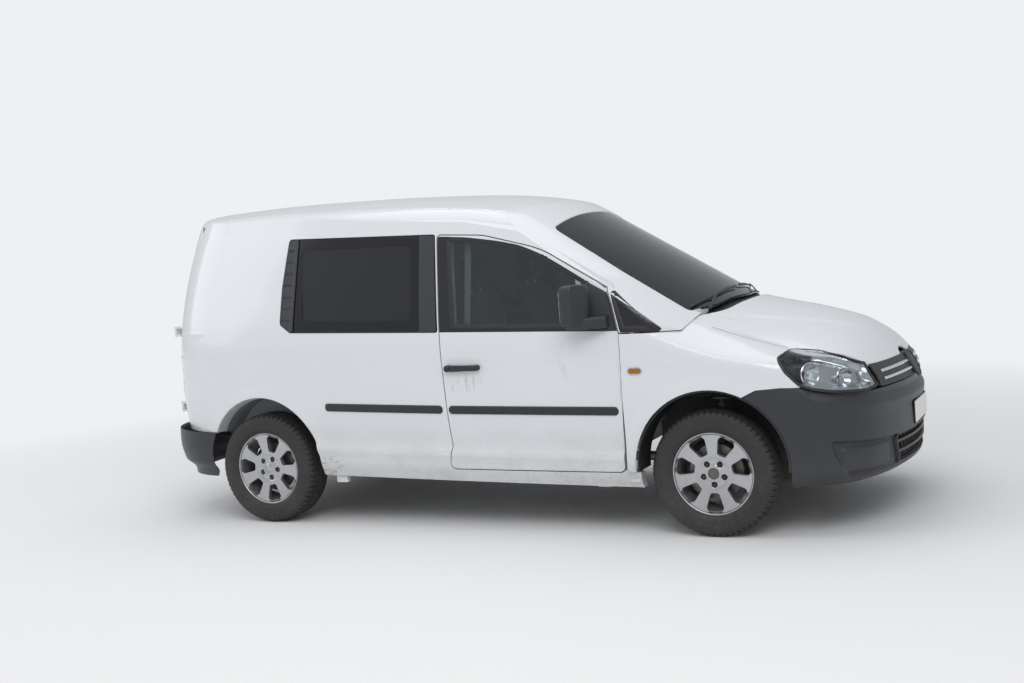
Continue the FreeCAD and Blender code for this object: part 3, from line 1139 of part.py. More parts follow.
rub_rear, rub_front = [proud_skin.common(left_prism(side_wire(strip_outline(*strip))))
                       for strip in RUB_STRIPS]
HANDLE_Z = 881.0
handle = prism_y([(-94.0, HANDLE_Z - 15.0, 12.0), (108.0, HANDLE_Z - 18.0, 12.0),
                  (108.0, HANDLE_Z + 15.0, 12.0), (-94.0, HANDLE_Z + 19.0, 12.0)], 880.0, 926.0)
handle = handle.cut(half_loft(BODY_LEVELS, -SEAT_GAP))
handle = handle.cut(prism_z([(-70.0, 860.0), (84.0, 860.0), (74.0, 912.0, 8.0),
                             (-60.0, 912.0, 8.0)], 800.0, 950.0))
left_and_right("door_trim", Part.makeCompound([mirror, rub_front, handle]))

# Plastic on the sides: rub strip, louvres behind the window and the pillar strip
louvre = glass_skin.common(left_prism(side_wire(LOUVRE_OUTLINE)))
pillar_strip = glass_skin.common(left_prism(side_wire(PILLAR_STRIP_OUTLINE)))
strips = [solids_of(rub_rear), solids_of(louvre), solids_of(pillar_strip)]
save("side_trim", Part.makeCompound(strips + [mirrored(s) for s in strips]))
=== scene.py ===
# %% [markdown]
# # A small white panel van
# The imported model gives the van's pieces at their real size, in metres: +X is forwards, +Y is the van's
# left and +Z is up. This lesson dresses them: body panels as smooth surfaces, glass, lamps, wheels, a cab,
# and finishes that show paint, grained plastic, rubber, cast parts and cloth. A surface is worked out as
# whole numpy arrays, so one function can be read as one formula.

import bmesh
import bpy
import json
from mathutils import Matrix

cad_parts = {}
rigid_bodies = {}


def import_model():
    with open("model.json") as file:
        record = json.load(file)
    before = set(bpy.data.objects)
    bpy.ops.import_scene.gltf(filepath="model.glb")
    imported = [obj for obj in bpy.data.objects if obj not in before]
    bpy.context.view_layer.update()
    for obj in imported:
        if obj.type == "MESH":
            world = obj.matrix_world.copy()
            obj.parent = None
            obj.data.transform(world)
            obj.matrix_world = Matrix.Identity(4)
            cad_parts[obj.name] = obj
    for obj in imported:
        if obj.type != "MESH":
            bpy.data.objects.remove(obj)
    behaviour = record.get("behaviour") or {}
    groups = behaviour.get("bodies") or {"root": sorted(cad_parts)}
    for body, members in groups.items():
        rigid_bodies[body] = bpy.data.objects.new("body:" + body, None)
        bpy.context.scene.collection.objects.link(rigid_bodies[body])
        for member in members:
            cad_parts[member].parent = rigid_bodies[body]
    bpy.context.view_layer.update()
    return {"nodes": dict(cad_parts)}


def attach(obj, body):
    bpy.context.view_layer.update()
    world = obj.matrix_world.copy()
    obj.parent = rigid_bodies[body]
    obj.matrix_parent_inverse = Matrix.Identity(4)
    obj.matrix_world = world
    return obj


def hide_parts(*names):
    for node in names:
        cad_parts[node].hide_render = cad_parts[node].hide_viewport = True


for leftover in list(bpy.data.objects):
    bpy.data.objects.remove(leftover)
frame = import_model()

import json
import math

import numpy as np
from mathutils import Matrix, Vector
from mathutils.geometry import delaunay_2d_cdt

scene = bpy.context.scene
nodes = frame["nodes"]

# %% [markdown]
# ## Camera
# The photograph was taken from the van's right, a little ahead of it, by someone standing. The camera's
# place, turn and lens were fitted to points whose real place is known, such as the wheels' rims.

# %% Camera
CAMERA_PLACE = (3.2806, -6.9677, 1.5838)
CAMERA_YAW = 0.4551
CAMERA_PITCH = -0.0842
CAMERA_ROLL = -0.0765
FOCAL_PIXELS = 1309.36
IMAGE_WIDTH = 1024
SENSOR_WIDTH = 36.0
SIGHT = 100.0


def camera_turn(yaw, pitch, roll):
    """Turn of a camera: forward from yaw and pitch, then right and up rolled about forward."""
    forward = Vector((-math.sin(yaw) * math.cos(pitch), math.cos(yaw) * math.cos(pitch), math.sin(pitch)))
    level = Vector((math.cos(yaw), math.sin(yaw), 0.0))
    upward = level.cross(forward)
    right = level * math.cos(roll) + upward * math.sin(roll)
    up = upward * math.cos(roll) - level * math.sin(roll)
    return Matrix((right, up, -forward)).transposed()


camera_data = bpy.data.cameras.new("camera")
camera_data.sensor_width = SENSOR_WIDTH
camera_data.lens = FOCAL_PIXELS * SENSOR_WIDTH / IMAGE_WIDTH
camera_data.clip_end = SIGHT
camera = bpy.data.objects.new("camera", camera_data)
camera.matrix_world = Matrix.Translation(CAMERA_PLACE) @ camera_turn(
    CAMERA_YAW, CAMERA_PITCH, CAMERA_ROLL).to_4x4()
scene.collection.objects.link(camera)
scene.camera = camera
scene.view_settings.view_transform = "Standard"

# %% [markdown]
# ## Helpers for meshes
# Every new piece goes through one function that puts arrays of points and faces into a mesh. A grid of
# points, rows by columns, becomes quads by index arithmetic on whole arrays.

# %% Mesh helpers


def new_piece(name, points, faces, material, body):
    """A mesh object from an array of points and a list or array of faces, riding on a body."""
    mesh = bpy.data.meshes.new(name)
    mesh.from_pydata(np.asarray(points, float).tolist(), [],
                     faces.tolist() if isinstance(faces, np.ndarray) else faces)
    mesh.validate()
    mesh.polygons.foreach_set("use_smooth", [True] * len(mesh.polygons))
    mesh.materials.append(material)
    piece = bpy.data.objects.new(name, mesh)
    scene.collection.objects.link(piece)
    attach(piece, body)
    return piece


# %% [markdown]
# ## The body as one surface
# A van's side, roof, rear corners and screen pillars are pressed to run into each other. They are easiest
# to describe as one function that is negative inside and positive outside. Each panel is then found by
# sending rays out from inside the body and halving the stretch that holds the surface until it is met.

# %% Smooth curves through a few known sizes
RAKE = 0.0225
TABLE_STEPS = 2000


def smooth_curve(knots, values):
    """Table of a curve through the knots whose slope is the harmonic mean of its two neighbours."""
    k = np.asarray(knots, float)
    v = np.asarray(values, float)
    step = np.diff(k)
    slope = np.diff(v) / step
    inner = np.where(slope[1:] * slope[:-1] > 0,
                     2 * slope[1:] * slope[:-1] / (slope[1:] + slope[:-1] + 1e-12), 0.0)
    tangent = np.concatenate(([slope[0]], inner, [slope[-1]]))
    at = np.linspace(k[0], k[-1], TABLE_STEPS)
    i = np.clip(np.searchsorted(k, at, side="right") - 1, 0, len(k) - 2)
    t = (at - k[i]) / step[i]
    h = step[i]
    curve = (v[i] * (2 * t ** 3 - 3 * t ** 2 + 1) + tangent[i] * h * (t ** 3 - 2 * t ** 2 + t)
             + v[i + 1] * (3 * t ** 2 - 2 * t ** 3) + tangent[i + 1] * h * (t ** 3 - t ** 2))
    return at, curve


def along(curve, at):
    """Value of a tabled curve, held level past its ends."""
    return np.interp(at, curve[0], curve[1])


def smooth_step(low, high, at):
    """Rise from 0 to 1 between low and high with no corner."""
    t = np.clip((at - low) / (high - low), 0.0, 1.0)
    return t * t * (3.0 - 2.0 * t)


# %% [markdown]
# Seen from above, the van is five arcs: tail, rear corner, side, front corner and nose. Where they meet
# depends on the height, so the outline is worked out for many levels and kept in tables.

# %% Plan outlines of the body and of the nose
# columns: level, half width, rear x, front x
BODY_LEVELS = np.array((
    (0.200, 0.822, -2.084, 1.5), (0.262, 0.842, -2.090, 1.5), (0.345, 0.876, -2.100, 1.5),
    (0.380, 0.880, -2.105, 1.5), (0.410, 0.889, -2.110, 1.5), (0.428, 0.888, -2.112, 1.5),
    (0.458, 0.8765, -2.125, 1.5), (0.560, 0.8885, -2.135, 1.5), (0.680, 0.896, -2.140, 1.5),
    (0.925, 0.8912, -2.140, 1.5), (1.075, 0.872, -2.136, 1.5), (1.330, 0.814, -2.112, 1.5),
    (1.600, 0.746, -2.055, 1.5), (1.850, 0.678, -1.985, 1.5)))
NOSE_LEVELS = np.array((
    (0.240, 0.830, -2.1, 2.090), (0.286, 0.842, -2.1, 2.120), (0.330, 0.870, -2.1, 2.176),
    (0.390, 0.884, -2.1, 2.200), (0.488, 0.884, -2.1, 2.203), (0.738, 0.895, -2.1, 2.190),
    (0.808, 0.893, -2.1, 2.165), (0.878, 0.892, -2.1, 2.115), (0.950, 0.888, -2.1, 2.050),
    (1.130, 0.862, -2.1, 1.920)))
TAIL_LEVELS = np.array((
    (0.240, 0.846, -2.140, 1.5), (0.262, 0.850, -2.150, 1.5), (0.310, 0.880, -2.188, 1.5),
    (0.420, 0.894, -2.203, 1.5), (0.505, 0.893, -2.200, 1.5), (0.560, 0.892, -2.190, 1.5)))
PLAN_SPACING = 0.008
PLAN_SOFTNESS = 0.045
LEVEL_COUNT, PLAN_COLUMNS, END_COLUMNS = 180, 900, 300
END_WIDTH = 0.86
# where arcs meet or bulge: distance in from the rear or front end, distance in from the half width
TAIL_SHARE, TAIL_JOIN = 0.605, (0.040, 0.020)
REAR_JOIN, FRONT_JOIN, NOSE_JOIN = (0.440, 0.035), (0.520, 0.024), (0.108, 0.297)
REAR_BULGE, FRONT_BULGE, SIDE_MIDDLE = (0.157, 0.135), (0.273, 0.100), -0.1
ARC_LENGTHS = (0.96, 0.58, 3.0, 0.54, 1.2)


def arc_through(a, b, c, count):
    """Points on circles through three points, for whole arrays of levels."""
    ax, ay, bx, by, cx, cy = a[..., 0], a[..., 1], b[..., 0], b[..., 1], c[..., 0], c[..., 1]
    d = 2 * (ax * (by - cy) + bx * (cy - ay) + cx * (ay - by))
    a2, b2, c2 = ax ** 2 + ay ** 2, bx ** 2 + by ** 2, cx ** 2 + cy ** 2
    x0 = (a2 * (by - cy) + b2 * (cy - ay) + c2 * (ay - by)) / d
    y0 = (a2 * (cx - bx) + b2 * (ax - cx) + c2 * (bx - ax)) / d
    radius = np.hypot(ax - x0, ay - y0)
    start = np.arctan2(ay - y0, ax - x0)
    end = np.arctan2(cy - y0, cx - x0)
    turn = (end - start + np.pi) % (2 * np.pi) - np.pi
    t = np.linspace(0.0, 1.0, count)
    angle = start[:, None] + turn[:, None] * t
    return np.stack([x0[:, None] + radius[:, None] * np.cos(angle),
                     y0[:, None] + radius[:, None] * np.sin(angle)], -1)


class PlanTables:
    """Half outlines in plan by level, as y over x and as x over y at the tail and at the nose."""

    def __init__(self, rows):
        """Arcs through the joins of each level, softened by a bell-shaped average along the line."""
        self.levels = np.linspace(rows[0, 0], rows[-1, 0], LEVEL_COUNT)
        w, rear, front = (along(smooth_curve(rows[:, 0], rows[:, i]), self.levels) for i in (1, 2, 3))

        def spot(x, y):
            """One point for each level."""
            return np.stack([x, y], -1)

        tail = spot(rear + TAIL_JOIN[0], TAIL_SHARE * w - TAIL_JOIN[1])
        side_rear = spot(rear + REAR_JOIN[0], w - REAR_JOIN[1])
        side_front = spot(front - FRONT_JOIN[0], w - FRONT_JOIN[1])
        nose = spot(front - NOSE_JOIN[0], w - NOSE_JOIN[1])
        runs = (
            (tail * (1, -1), spot(rear, 0 * w), tail),
            (tail, spot(rear + REAR_BULGE[0], w - REAR_BULGE[1]), side_rear),
            (side_rear, spot(0 * w + SIDE_MIDDLE, w), side_front),
            (side_front, spot(front - FRONT_BULGE[0], w - FRONT_BULGE[1]), nose),
            (nose, spot(front, 0 * w), nose * (1, -1)))
        line = np.concatenate([arc_through(*run, int(length / PLAN_SPACING))[:, :-1]
                               for run, length in zip(runs, ARC_LENGTHS)], 1)
        reach = int(3 * PLAN_SOFTNESS / PLAN_SPACING)
        weight = np.exp(-0.5 * (np.arange(-reach, reach + 1) * PLAN_SPACING / PLAN_SOFTNESS) ** 2)
        weight /= weight.sum()
        soft = sum(weight[k] * line[:, k:line.shape[1] - 2 * reach + k] for k in range(2 * reach + 1))
        keep = soft[0, :, 1] > -0.01
        soft = soft[:, keep]
        self.x = np.linspace(rear.min(), front.max(), PLAN_COLUMNS)
        self.y = np.linspace(0.0, END_WIDTH, END_COLUMNS)
        self.y_over_x = np.array([np.interp(self.x, row[:, 0], row[:, 1]) for row in soft])
        widest = soft[0, :, 1].argmax()
        self.tail_x = np.array([np.interp(self.y, row[:widest, 1], row[:widest, 0]) for row in soft])
        self.nose_x = np.array([np.interp(self.y, row[:widest:-1, 1], row[:widest:-1, 0]) for row in soft])


def table_at(table, rows, columns, row, column):
    """Value between four neighbours of a table with even rows and columns."""
    r = np.clip((row - rows[0]) / (rows[1] - rows[0]), 0, len(rows) - 1.001)
    c = np.clip((column - columns[0]) / (columns[1] - columns[0]), 0, len(columns) - 1.001)
    i, j = r.astype(int), c.astype(int)
    u, v = r - i, c - j
    return ((table[i, j] * (1 - v) + table[i, j + 1] * v) * (1 - u)
            + (table[i + 1, j] * (1 - v) + table[i + 1, j + 1] * v) * u)


body_plan = PlanTables(BODY_LEVELS)
nose_plan = PlanTables(NOSE_LEVELS)
tail_plan = PlanTables(TAIL_LEVELS)

# %% [markdown]
# ## One function for the body
# The plan outline, the roof line and the bent windscreen each give a distance, and the largest of the three
# says how far a point lies outside the body. A soft maximum rounds the edges where two of them meet, as
# the press does on the real roof rail and screen pillar.

# %% Roof, screen and bonnet
ROOF_LINE = smooth_curve(
    (-2.25, -2.0, -1.8, -1.4, -0.9, -0.4, 0.0, 0.3, 0.48, 0.64, 1.6),
    (1.808, 1.820, 1.829, 1.838, 1.831, 1.812, 1.783, 1.733, 1.677, 1.625, 1.500))
CROWN_FALL = smooth_curve((0.0, 0.2, 0.4, 0.56, 0.64, 0.68, 0.722, 0.80, 1.0),
                          (0.0, 0.0062, 0.025, 0.049, 0.064, 0.088, 0.126, 0.203, 0.40))
SCREEN_TOP = (0.478, 1.652)
SCREEN_SLOPE = 0.60
SCREEN_RADIUS = 2.0
SKIN_PROUD = 0.0012
ROOF_SOFTNESS = 0.017
SCREEN_SOFTNESS = 0.006
SLOPE_STEP = 0.004
BESIDE = (0.60, 0.70)        # half widths between which a point stops lying before an end and lies beside

screen_run = np.array((1.0, 0.0, -SCREEN_SLOPE)) / math.hypot(1.0, SCREEN_SLOPE)
screen_normal = np.array((-screen_run[2], 0.0, screen_run[0]))
screen_axis = np.array((SCREEN_TOP[0], 0.0, SCREEN_TOP[1])) - screen_normal * SCREEN_RADIUS


def soft_max(a, b, softness):
    """The larger of two values, rounded where they are near each other."""
    top = np.maximum(a, b)
    return top + softness * np.log1p(np.exp(-np.abs(a - b) / softness))


def screen_distance(x, y, z):
    """Distance outside the windscreen's cylinder."""
    px, pz = x - screen_axis[0], z - screen_axis[2]
    height = px * screen_normal[0] + pz * screen_normal[2]
    return np.hypot(height, y) - SCREEN_RADIUS


def plan_distance(plan, x, y, z):
    """Distance outside a plan outline, from its y over x at the sides and x over y at the ends."""
    level = z + RAKE * x
    wide = np.abs(y)
    step = SLOPE_STEP
    side = table_at(plan.y_over_x, plan.levels, plan.x, level, x)
    lean = (table_at(plan.y_over_x, plan.levels, plan.x, level, x + step) - side) / step
    beside = (wide - side) / np.sqrt(1 + lean ** 2)
    at_tail = x < 0
    end = np.where(at_tail, table_at(plan.tail_x, plan.levels, plan.y, level, wide),
                   table_at(plan.nose_x, plan.levels, plan.y, level, wide))
    end_next = np.where(at_tail, table_at(plan.tail_x, plan.levels, plan.y, level, wide + step),
                        table_at(plan.nose_x, plan.levels, plan.y, level, wide + step))
    slant = (end_next - end) / step
    beyond = np.where(at_tail, end - x, x - end) / np.sqrt(1 + slant ** 2)
    share = smooth_step(*BESIDE, wide)
    return share * beside + (1 - share) * beyond


def roof_distance(x, y, z):
    """Distance above the roof line less its fall across the crown."""
    wide = np.abs(y)
    step = SLOPE_STEP
    top = along(ROOF_LINE, x) - along(CROWN_FALL, wide)
    slope_x = (along(ROOF_LINE, x + step) - along(ROOF_LINE, x)) / step
    slope_y = (along(CROWN_FALL, wide + step) - along(CROWN_FALL, wide)) / step
    return (z - top) / np.sqrt(1 + slope_x ** 2 + slope_y ** 2)


# %% [markdown]
# The side has lips round its wheel arches and a shoulder line. They are heights added to the plain surface.

# %% Pressed lines and lips of the side
FRONT_ARCH = (1.330, 0.350)
REAR_ARCH = (-1.348, 0.347)
SHOULDER_LINE = smooth_curve((-0.20, -0.176, -0.122, 0.0, 0.401, 0.787, 1.306, 1.6),
                             (1.045, 0.975, 0.940, 0.926, 0.908, 0.888, 0.866, 0.850))
LIP_OUTER, LIP_INNER, LIP_HEIGHT, LIP_FOOT = 0.462, 0.418, 0.007, (0.24, 0.34)
CREASE_DEPTH, CREASE_FADE, CREASE_EDGE = 0.0042, 0.10, 0.016
CREASE_REAR, CREASE_FRONT = (-0.20, -0.10), (1.42, 1.15)
RELIEF_START = (0.62, 0.74)  # half widths between which the relief sets in


def side_relief(x, z):
    """Height of the pressed lines above the plain side: lips round the arches and the shoulder line."""
    relief = np.zeros_like(x)
    for cx, cz in (FRONT_ARCH, REAR_ARCH):
        r = np.hypot(x - cx, z - cz)
        lip = smooth_step(LIP_OUTER, LIP_INNER, r) * LIP_HEIGHT
        relief += lip * smooth_step(*LIP_FOOT, z)
    below = along(SHOULDER_LINE, x) - z
    crease = np.where(below > 0, np.exp(-below / CREASE_FADE) * smooth_step(0.0, CREASE_EDGE, below), 0.0)
    ends = smooth_step(*CREASE_REAR, x) * smooth_step(*CREASE_FRONT, x)
    return relief - CREASE_DEPTH * crease * ends


def relief_at(x, y, z):
    """Relief of the sides, which fades out towards the middle of the nose and of the tail."""
    return side_relief(x, z) * smooth_step(*RELIEF_START, np.abs(y))


def body_distance(x, y, z):
    """Distance outside the cab and load space."""
    shape = plan_distance(body_plan, x, y, z) - relief_at(x, y, z)
    shape = soft_max(shape, roof_distance(x, y, z), ROOF_SOFTNESS)
    return soft_max(shape, screen_distance(x, y, z), SCREEN_SOFTNESS) - SKIN_PROUD


HALVINGS = 20
RAY_REACH, ROOF_REACH, NOSE_REACH = 0.75, 1.6, 0.9
AHEAD, ASIDE, UPWARDS = np.eye(3)


def cast(distance, base, direction, far=RAY_REACH):
    """Points where rays from base along direction leave the shape, by halving."""
    low = np.zeros(len(base))
    high = np.full(len(base), far, float)
    for _ in range(HALVINGS):
        mid = (low + high) / 2
        p = base + direction * mid[:, None]
        inside = distance(p[:, 0], p[:, 1], p[:, 2]) < 0
        low = np.where(inside, mid, low)
        high = np.where(inside, high, mid)
    return base + direction * ((low + high) / 2)[:, None]


# %% [markdown]
# The nose has the same kind of plan outline. Its top is the bonnet: heights at a few stations along the van
# and parabolas across.

# %% Bonnet and nose
# columns: station x, centre, shut line, wing and shoulder heights
BONNET_STATIONS = np.array((
    (0.850, 1.290, 1.205, 1.165, 1.080), (1.400, 1.128, 1.008, 0.962, 0.880),
    (1.720, 1.056, 0.905, 0.884, 0.830), (1.910, 0.993, 0.862, 0.850, 0.800),
    (2.030, 0.920, 0.812, 0.805, 0.770), (2.125, 0.832, 0.762, 0.755, 0.740),
    (2.300, 0.640, 0.600, 0.590, 0.580)))
SHUT_HALF, WING_HALF, SHOULDER_HALF = 0.650, 0.770, 0.905
NOSE_SOFTNESS = 0.010
FOLD_DROP, FOLD_BAND = 0.006, (0.012, 0.022)
FOLD_X, FOLD_Y, FOLD_START = (1.30, 2.12), (0.500, 0.135), (1.30, 1.50)
bonnet_curves = [smooth_curve(BONNET_STATIONS[:, 0], BONNET_STATIONS[:, i]) for i in range(1, 5)]


def bonnet_height(x, y):
    """Height of the bonnet: one parabola across the lid and another across the wing's top."""
    centre, shut, wing, shoulder = (along(curve, x) for curve in bonnet_curves)
    wide = np.abs(y)
    fold = np.interp(x, FOLD_X, FOLD_Y)
    lid = centre - (centre - shut) * (wide / SHUT_HALF) ** 2
    drop = FOLD_DROP * smooth_step(fold - FOLD_BAND[0], fold + FOLD_BAND[1], wide)
    lid = lid - drop * smooth_step(*FOLD_START, x)
    p, q, r = SHUT_HALF, WING_HALF, SHOULDER_HALF
    top = (shut * (wide - q) * (wide - r) / ((p - q) * (p - r)) + wing * (wide - p) * (wide - r)
           / ((q - p) * (q - r)) + shoulder * (wide - p) * (wide - q) / ((r - p) * (r - q)))
    return np.where(wide < p, lid, top)


def nose_distance(x, y, z):
    """Distance outside the wings, the bonnet and the front bumper."""
    shape = plan_distance(nose_plan, x, y, z) - relief_at(x, y, z)
    step = SLOPE_STEP
    top = bonnet_height(x, y)
    slope_x = (bonnet_height(x + step, y) - top) / step
    slope_y = (bonnet_height(x, y + step) - top) / step
    over = (z - top) / np.sqrt(1 + slope_x ** 2 + slope_y ** 2)
    return soft_max(shape, over, NOSE_SOFTNESS) - SKIN_PROUD


def front_band_distance(x, y, z):
    """Distance outside the front bumper."""
    return plan_distance(nose_plan, x, y, z) - SKIN_PROUD


def rear_band_distance(x, y, z):
    """Distance outside the rear bumper."""
    return plan_distance(tail_plan, x, y, z) - SKIN_PROUD


# %% [markdown]
# A chart unrolls a part of the body: it turns two flat coordinates into a point on the surface, and back.

# %% Charts
BODY_TURN = smooth_curve(
    (-2.3, -2.0, -1.4, -0.9, -0.4, 0.0, 0.30, 0.45, 0.623, 0.79, 0.952, 1.058, 1.20, 1.4),
    (1.60, 1.625, 1.655, 1.650, 1.632, 1.607, 1.562, 1.508, 1.428, 1.315, 1.192, 1.112, 1.045, 1.0))
WING_TURN = smooth_curve((0.85, 1.20, 1.45, 1.72, 2.05), (0.98, 0.86, 0.74, 0.66, 0.60))
PIVOT_Y = 0.50
TURN_RADIUS = 0.20
REAR_TURN, FRONT_TURN = -1.76, 1.75
TURN_REACH = 0.38
QUARTER = math.pi / 2
UPWARD_LIMIT = 1.45


def cast_below(distance, depth, base, direction):
    """Points where rays leave the shape shrunk by a depth."""
    return cast(lambda x, y, z: distance(x, y, z) + depth, base, direction)


class SideChart:
    """Level rays from a core inside the body, fanned upwards at the cant and outwards at both ends."""

    def __init__(self, distance, turn):
        """The body's distance and the height at which its rays begin to turn."""
        self.distance, self.turn = distance, turn

    def surface(self, uv, depth=0.0):
        """Points on the surface a depth below the skin, on the left side."""
        u, v = uv[:, 0], uv[:, 1]
        x = np.clip(u, REAR_TURN, FRONT_TURN)
        low = along(self.turn, x)
        across = np.clip((u - x) / TURN_REACH, -QUARTER, QUARTER)
        upward = np.clip((v - low) / TURN_RADIUS, 0.0, UPWARD_LIMIT)
        base = np.stack([x, np.full_like(x, PIVOT_Y), np.minimum(v, low)], 1)
        direction = np.stack([np.sin(across) * np.cos(upward), np.cos(across) * np.cos(upward),
                              np.sin(upward)], 1)
        return cast_below(self.distance, depth, base, direction)

    def flat(self, points):
        """Chart coordinates of points on the surface."""
        p = np.asarray(points, float)
        x = np.clip(p[:, 0], REAR_TURN, FRONT_TURN)
        low = along(self.turn, x)
        ahead, aside, up = p[:, 0] - x, np.abs(p[:, 1]) - PIVOT_Y, p[:, 2] - low
        u = x + np.arctan2(ahead, aside) * TURN_REACH
        v = np.where(up < 0, p[:, 2], low + np.arctan2(up, np.hypot(ahead, aside)) * TURN_RADIUS)
        return np.stack([u, v], 1)


class BandChart:
    """A bumper's wrap: straight rays across the middle, a fan at each corner and level rays at the sides."""

    def __init__(self, distance, turn_x, facing):
        """The body's distance, the station of the corner and the way that the end faces."""
        self.distance, self.turn_x, self.facing = distance, turn_x, facing

    def surface(self, uv, depth=0.0):
        """Points a depth below the skin: across the van, round its corner, then back along its side."""
        s, z = uv[:, 0], uv[:, 1]
        reach, sign = np.abs(s), np.where(s < 0, -1.0, 1.0)
        angle = np.clip((reach - PIVOT_Y) / TURN_REACH, 0.0, QUARTER)
        back = np.maximum(reach - PIVOT_Y - TURN_REACH * QUARTER, 0.0)
        base = np.stack([self.turn_x - self.facing * back, np.minimum(reach, PIVOT_Y) * sign, z], 1)
        direction = np.stack([self.facing * np.cos(angle), sign * np.sin(angle), 0 * s], 1)
        return cast_below(self.distance, depth, base, direction)

    def flat(self, points):
        """Chart coordinates of points on the surface."""
        p = np.asarray(points, float)
        ahead, wide = (p[:, 0] - self.turn_x) * self.facing, np.abs(p[:, 1])
        corner = PIVOT_Y + TURN_REACH * np.arctan2(np.maximum(wide - PIVOT_Y, 0.0), np.maximum(ahead, 1e-9))
        s = np.where(wide < PIVOT_Y, wide, corner)
        s = np.where(ahead < 0, PIVOT_Y + TURN_REACH * QUARTER - ahead, s)
        return np.stack([s * np.where(p[:, 1] < 0, -1.0, 1.0), p[:, 2]], 1)


class RayChart:
    """Parallel rays from a plane: upwards at (x, y), backwards at (y, z), or upwards and fanned at the
    tail."""

    def __init__(self, distance, kind, start, fanned=False):
        """The body's distance, the rays' kind and the plane that they start from."""
        self.distance, self.kind, self.start, self.fanned = distance, kind, start, fanned

    def surface(self, uv, depth=0.0):
        """Points on the surface a depth below the skin."""
        u, v = uv[:, 0], uv[:, 1]
        if self.kind == "rear":
            base = np.stack([np.full_like(u, self.start), u, v], 1)
            direction = -AHEAD
        else:
            x = np.maximum(u, REAR_TURN) if self.fanned else u
            lean = (u - x) / TURN_REACH
            base = np.stack([x, v, np.full_like(u, self.start)], 1)
            direction = np.stack([np.sin(lean), 0 * u, np.cos(lean)], 1)
        return cast_below(self.distance, depth, base, direction)

    def flat(self, points):
        """Chart coordinates of points on the surface."""
        p = np.asarray(points, float)
        if self.kind == "rear":
            return p[:, 1:]
        if not self.fanned:
            return p[:, :2]
        x = np.maximum(p[:, 0], REAR_TURN)
        return np.stack([x + np.arctan2(p[:, 0] - x, p[:, 2] - self.start) * TURN_REACH, p[:, 1]], 1)


body_side = SideChart(body_distance, BODY_TURN)
wing_side = SideChart(nose_distance, WING_TURN)
rear_face = RayChart(body_distance, "rear", -1.6)
roof_top = RayChart(body_distance, "top", 1.25, fanned=True)
screen_face = RayChart(body_distance, "top", 0.60)
bonnet_top = RayChart(nose_distance, "top", 0.45)
front_band = BandChart(front_band_distance, FRONT_TURN, 1.0)
rear_band = BandChart(rear_band_distance, REAR_TURN, -1.0)
SIDE_START = 0.3


def seen_from_side(outline, distance=body_distance):
    """Points of the left side at (x, z)."""
    xz = np.asarray(outline, float)[:, :2]
    return cast(distance, np.stack([xz[:, 0], np.full(len(xz), SIDE_START), xz[:, 1]], 1), ASIDE)


def seen_from_above(outline, distance=body_distance, floor=0.5):
    """Points of the top at (x, y)."""
    xy = np.asarray(outline, float)[:, :2]
    return cast(distance, np.stack([xy[:, 0], xy[:, 1], np.full(len(xy), floor)], 1), UPWARDS, ROOF_REACH)


# %% [markdown]
# ## Panels with a thickness
# A panel is an outline on a chart, filled with an even net of triangles and cast twice: once onto the outer
# skin and once onto the inner one. Between the two runs a rim whose first millimetres are rounded, because
# a pressed edge always catches a thin line of light.

# %% Panel helpers
# columns: distance in from the edge, depth below the skin
EDGE_RINGS = ((0.0034, 0.0), (0.0014, 0.0), (0.0004, 0.0004), (0.0, 0.0014), (0.0, 0.0034))
LONGEST_SHARE = 0.49         # most of an edge that a rounded corner may take
ROW_PITCH, CLEAR_OF_EDGE = 0.87, 0.55
RIM_SHARE, INNER_SHARE = 0.6, 1.6
BLOCK = 2000                 # points that are measured at a time


def rounded(points, step=0.006):
    """Closed outline whose corners (u, v, radius) are replaced by arcs of that radius."""
    out = []
    count = len(points)
    for i in range(count):
        here = np.array(points[i][:2], float)
        radius = points[i][2]
        back = np.array(points[i - 1][:2], float) - here
        on = np.array(points[(i + 1) % count][:2], float) - here
        if radius <= 0:
            out.append(here[None])
            continue
        back_len, on_len = np.hypot(*back), np.hypot(*on)
        back, on = back / back_len, on / on_len
        half = 0.5 * math.acos(float(np.clip(back @ on, -1, 1)))
        reach = min(radius / math.tan(half), LONGEST_SHARE * back_len, LONGEST_SHARE * on_len)
        radius = reach * math.tan(half)
        middle = (back + on) / np.linalg.norm(back + on)
        centre = here + middle * radius / math.sin(half)
        a, b = here + back * reach - centre, here + on * reach - centre
        start, end = math.atan2(a[1], a[0]), math.atan2(b[1], b[0])
        turn = (end - start + math.pi) % (2 * math.pi) - math.pi
        t = np.linspace(0, 1, max(3, int(abs(turn) * radius / step) + 2))
        angle = start + turn * t
        out.append(centre + radius * np.stack([np.cos(angle), np.sin(angle)], 1))
    return np.concatenate(out)


def densified(loop, step):
    """Closed outline with each edge cut into equal runs no longer than step."""
    ahead = np.roll(loop, -1, 0)
    length = np.hypot(*(ahead - loop).T)
    keep = length > 1e-5
    loop, ahead, length = loop[keep], ahead[keep], length[keep]
    counts = np.maximum(1, np.ceil(length / step).astype(int))
    which = np.repeat(np.arange(len(loop)), counts)
    first = np.cumsum(counts) - counts
    share = (np.arange(counts.sum()) - first[which]) / counts[which]
    return loop[which] + (ahead[which] - loop[which]) * share[:, None]


def area_of(loop):
    """Signed area of a closed outline."""
    ahead = np.roll(loop, -1, 0)
    return 0.5 * float(np.sum(loop[:, 0] * ahead[:, 1] - ahead[:, 0] * loop[:, 1]))


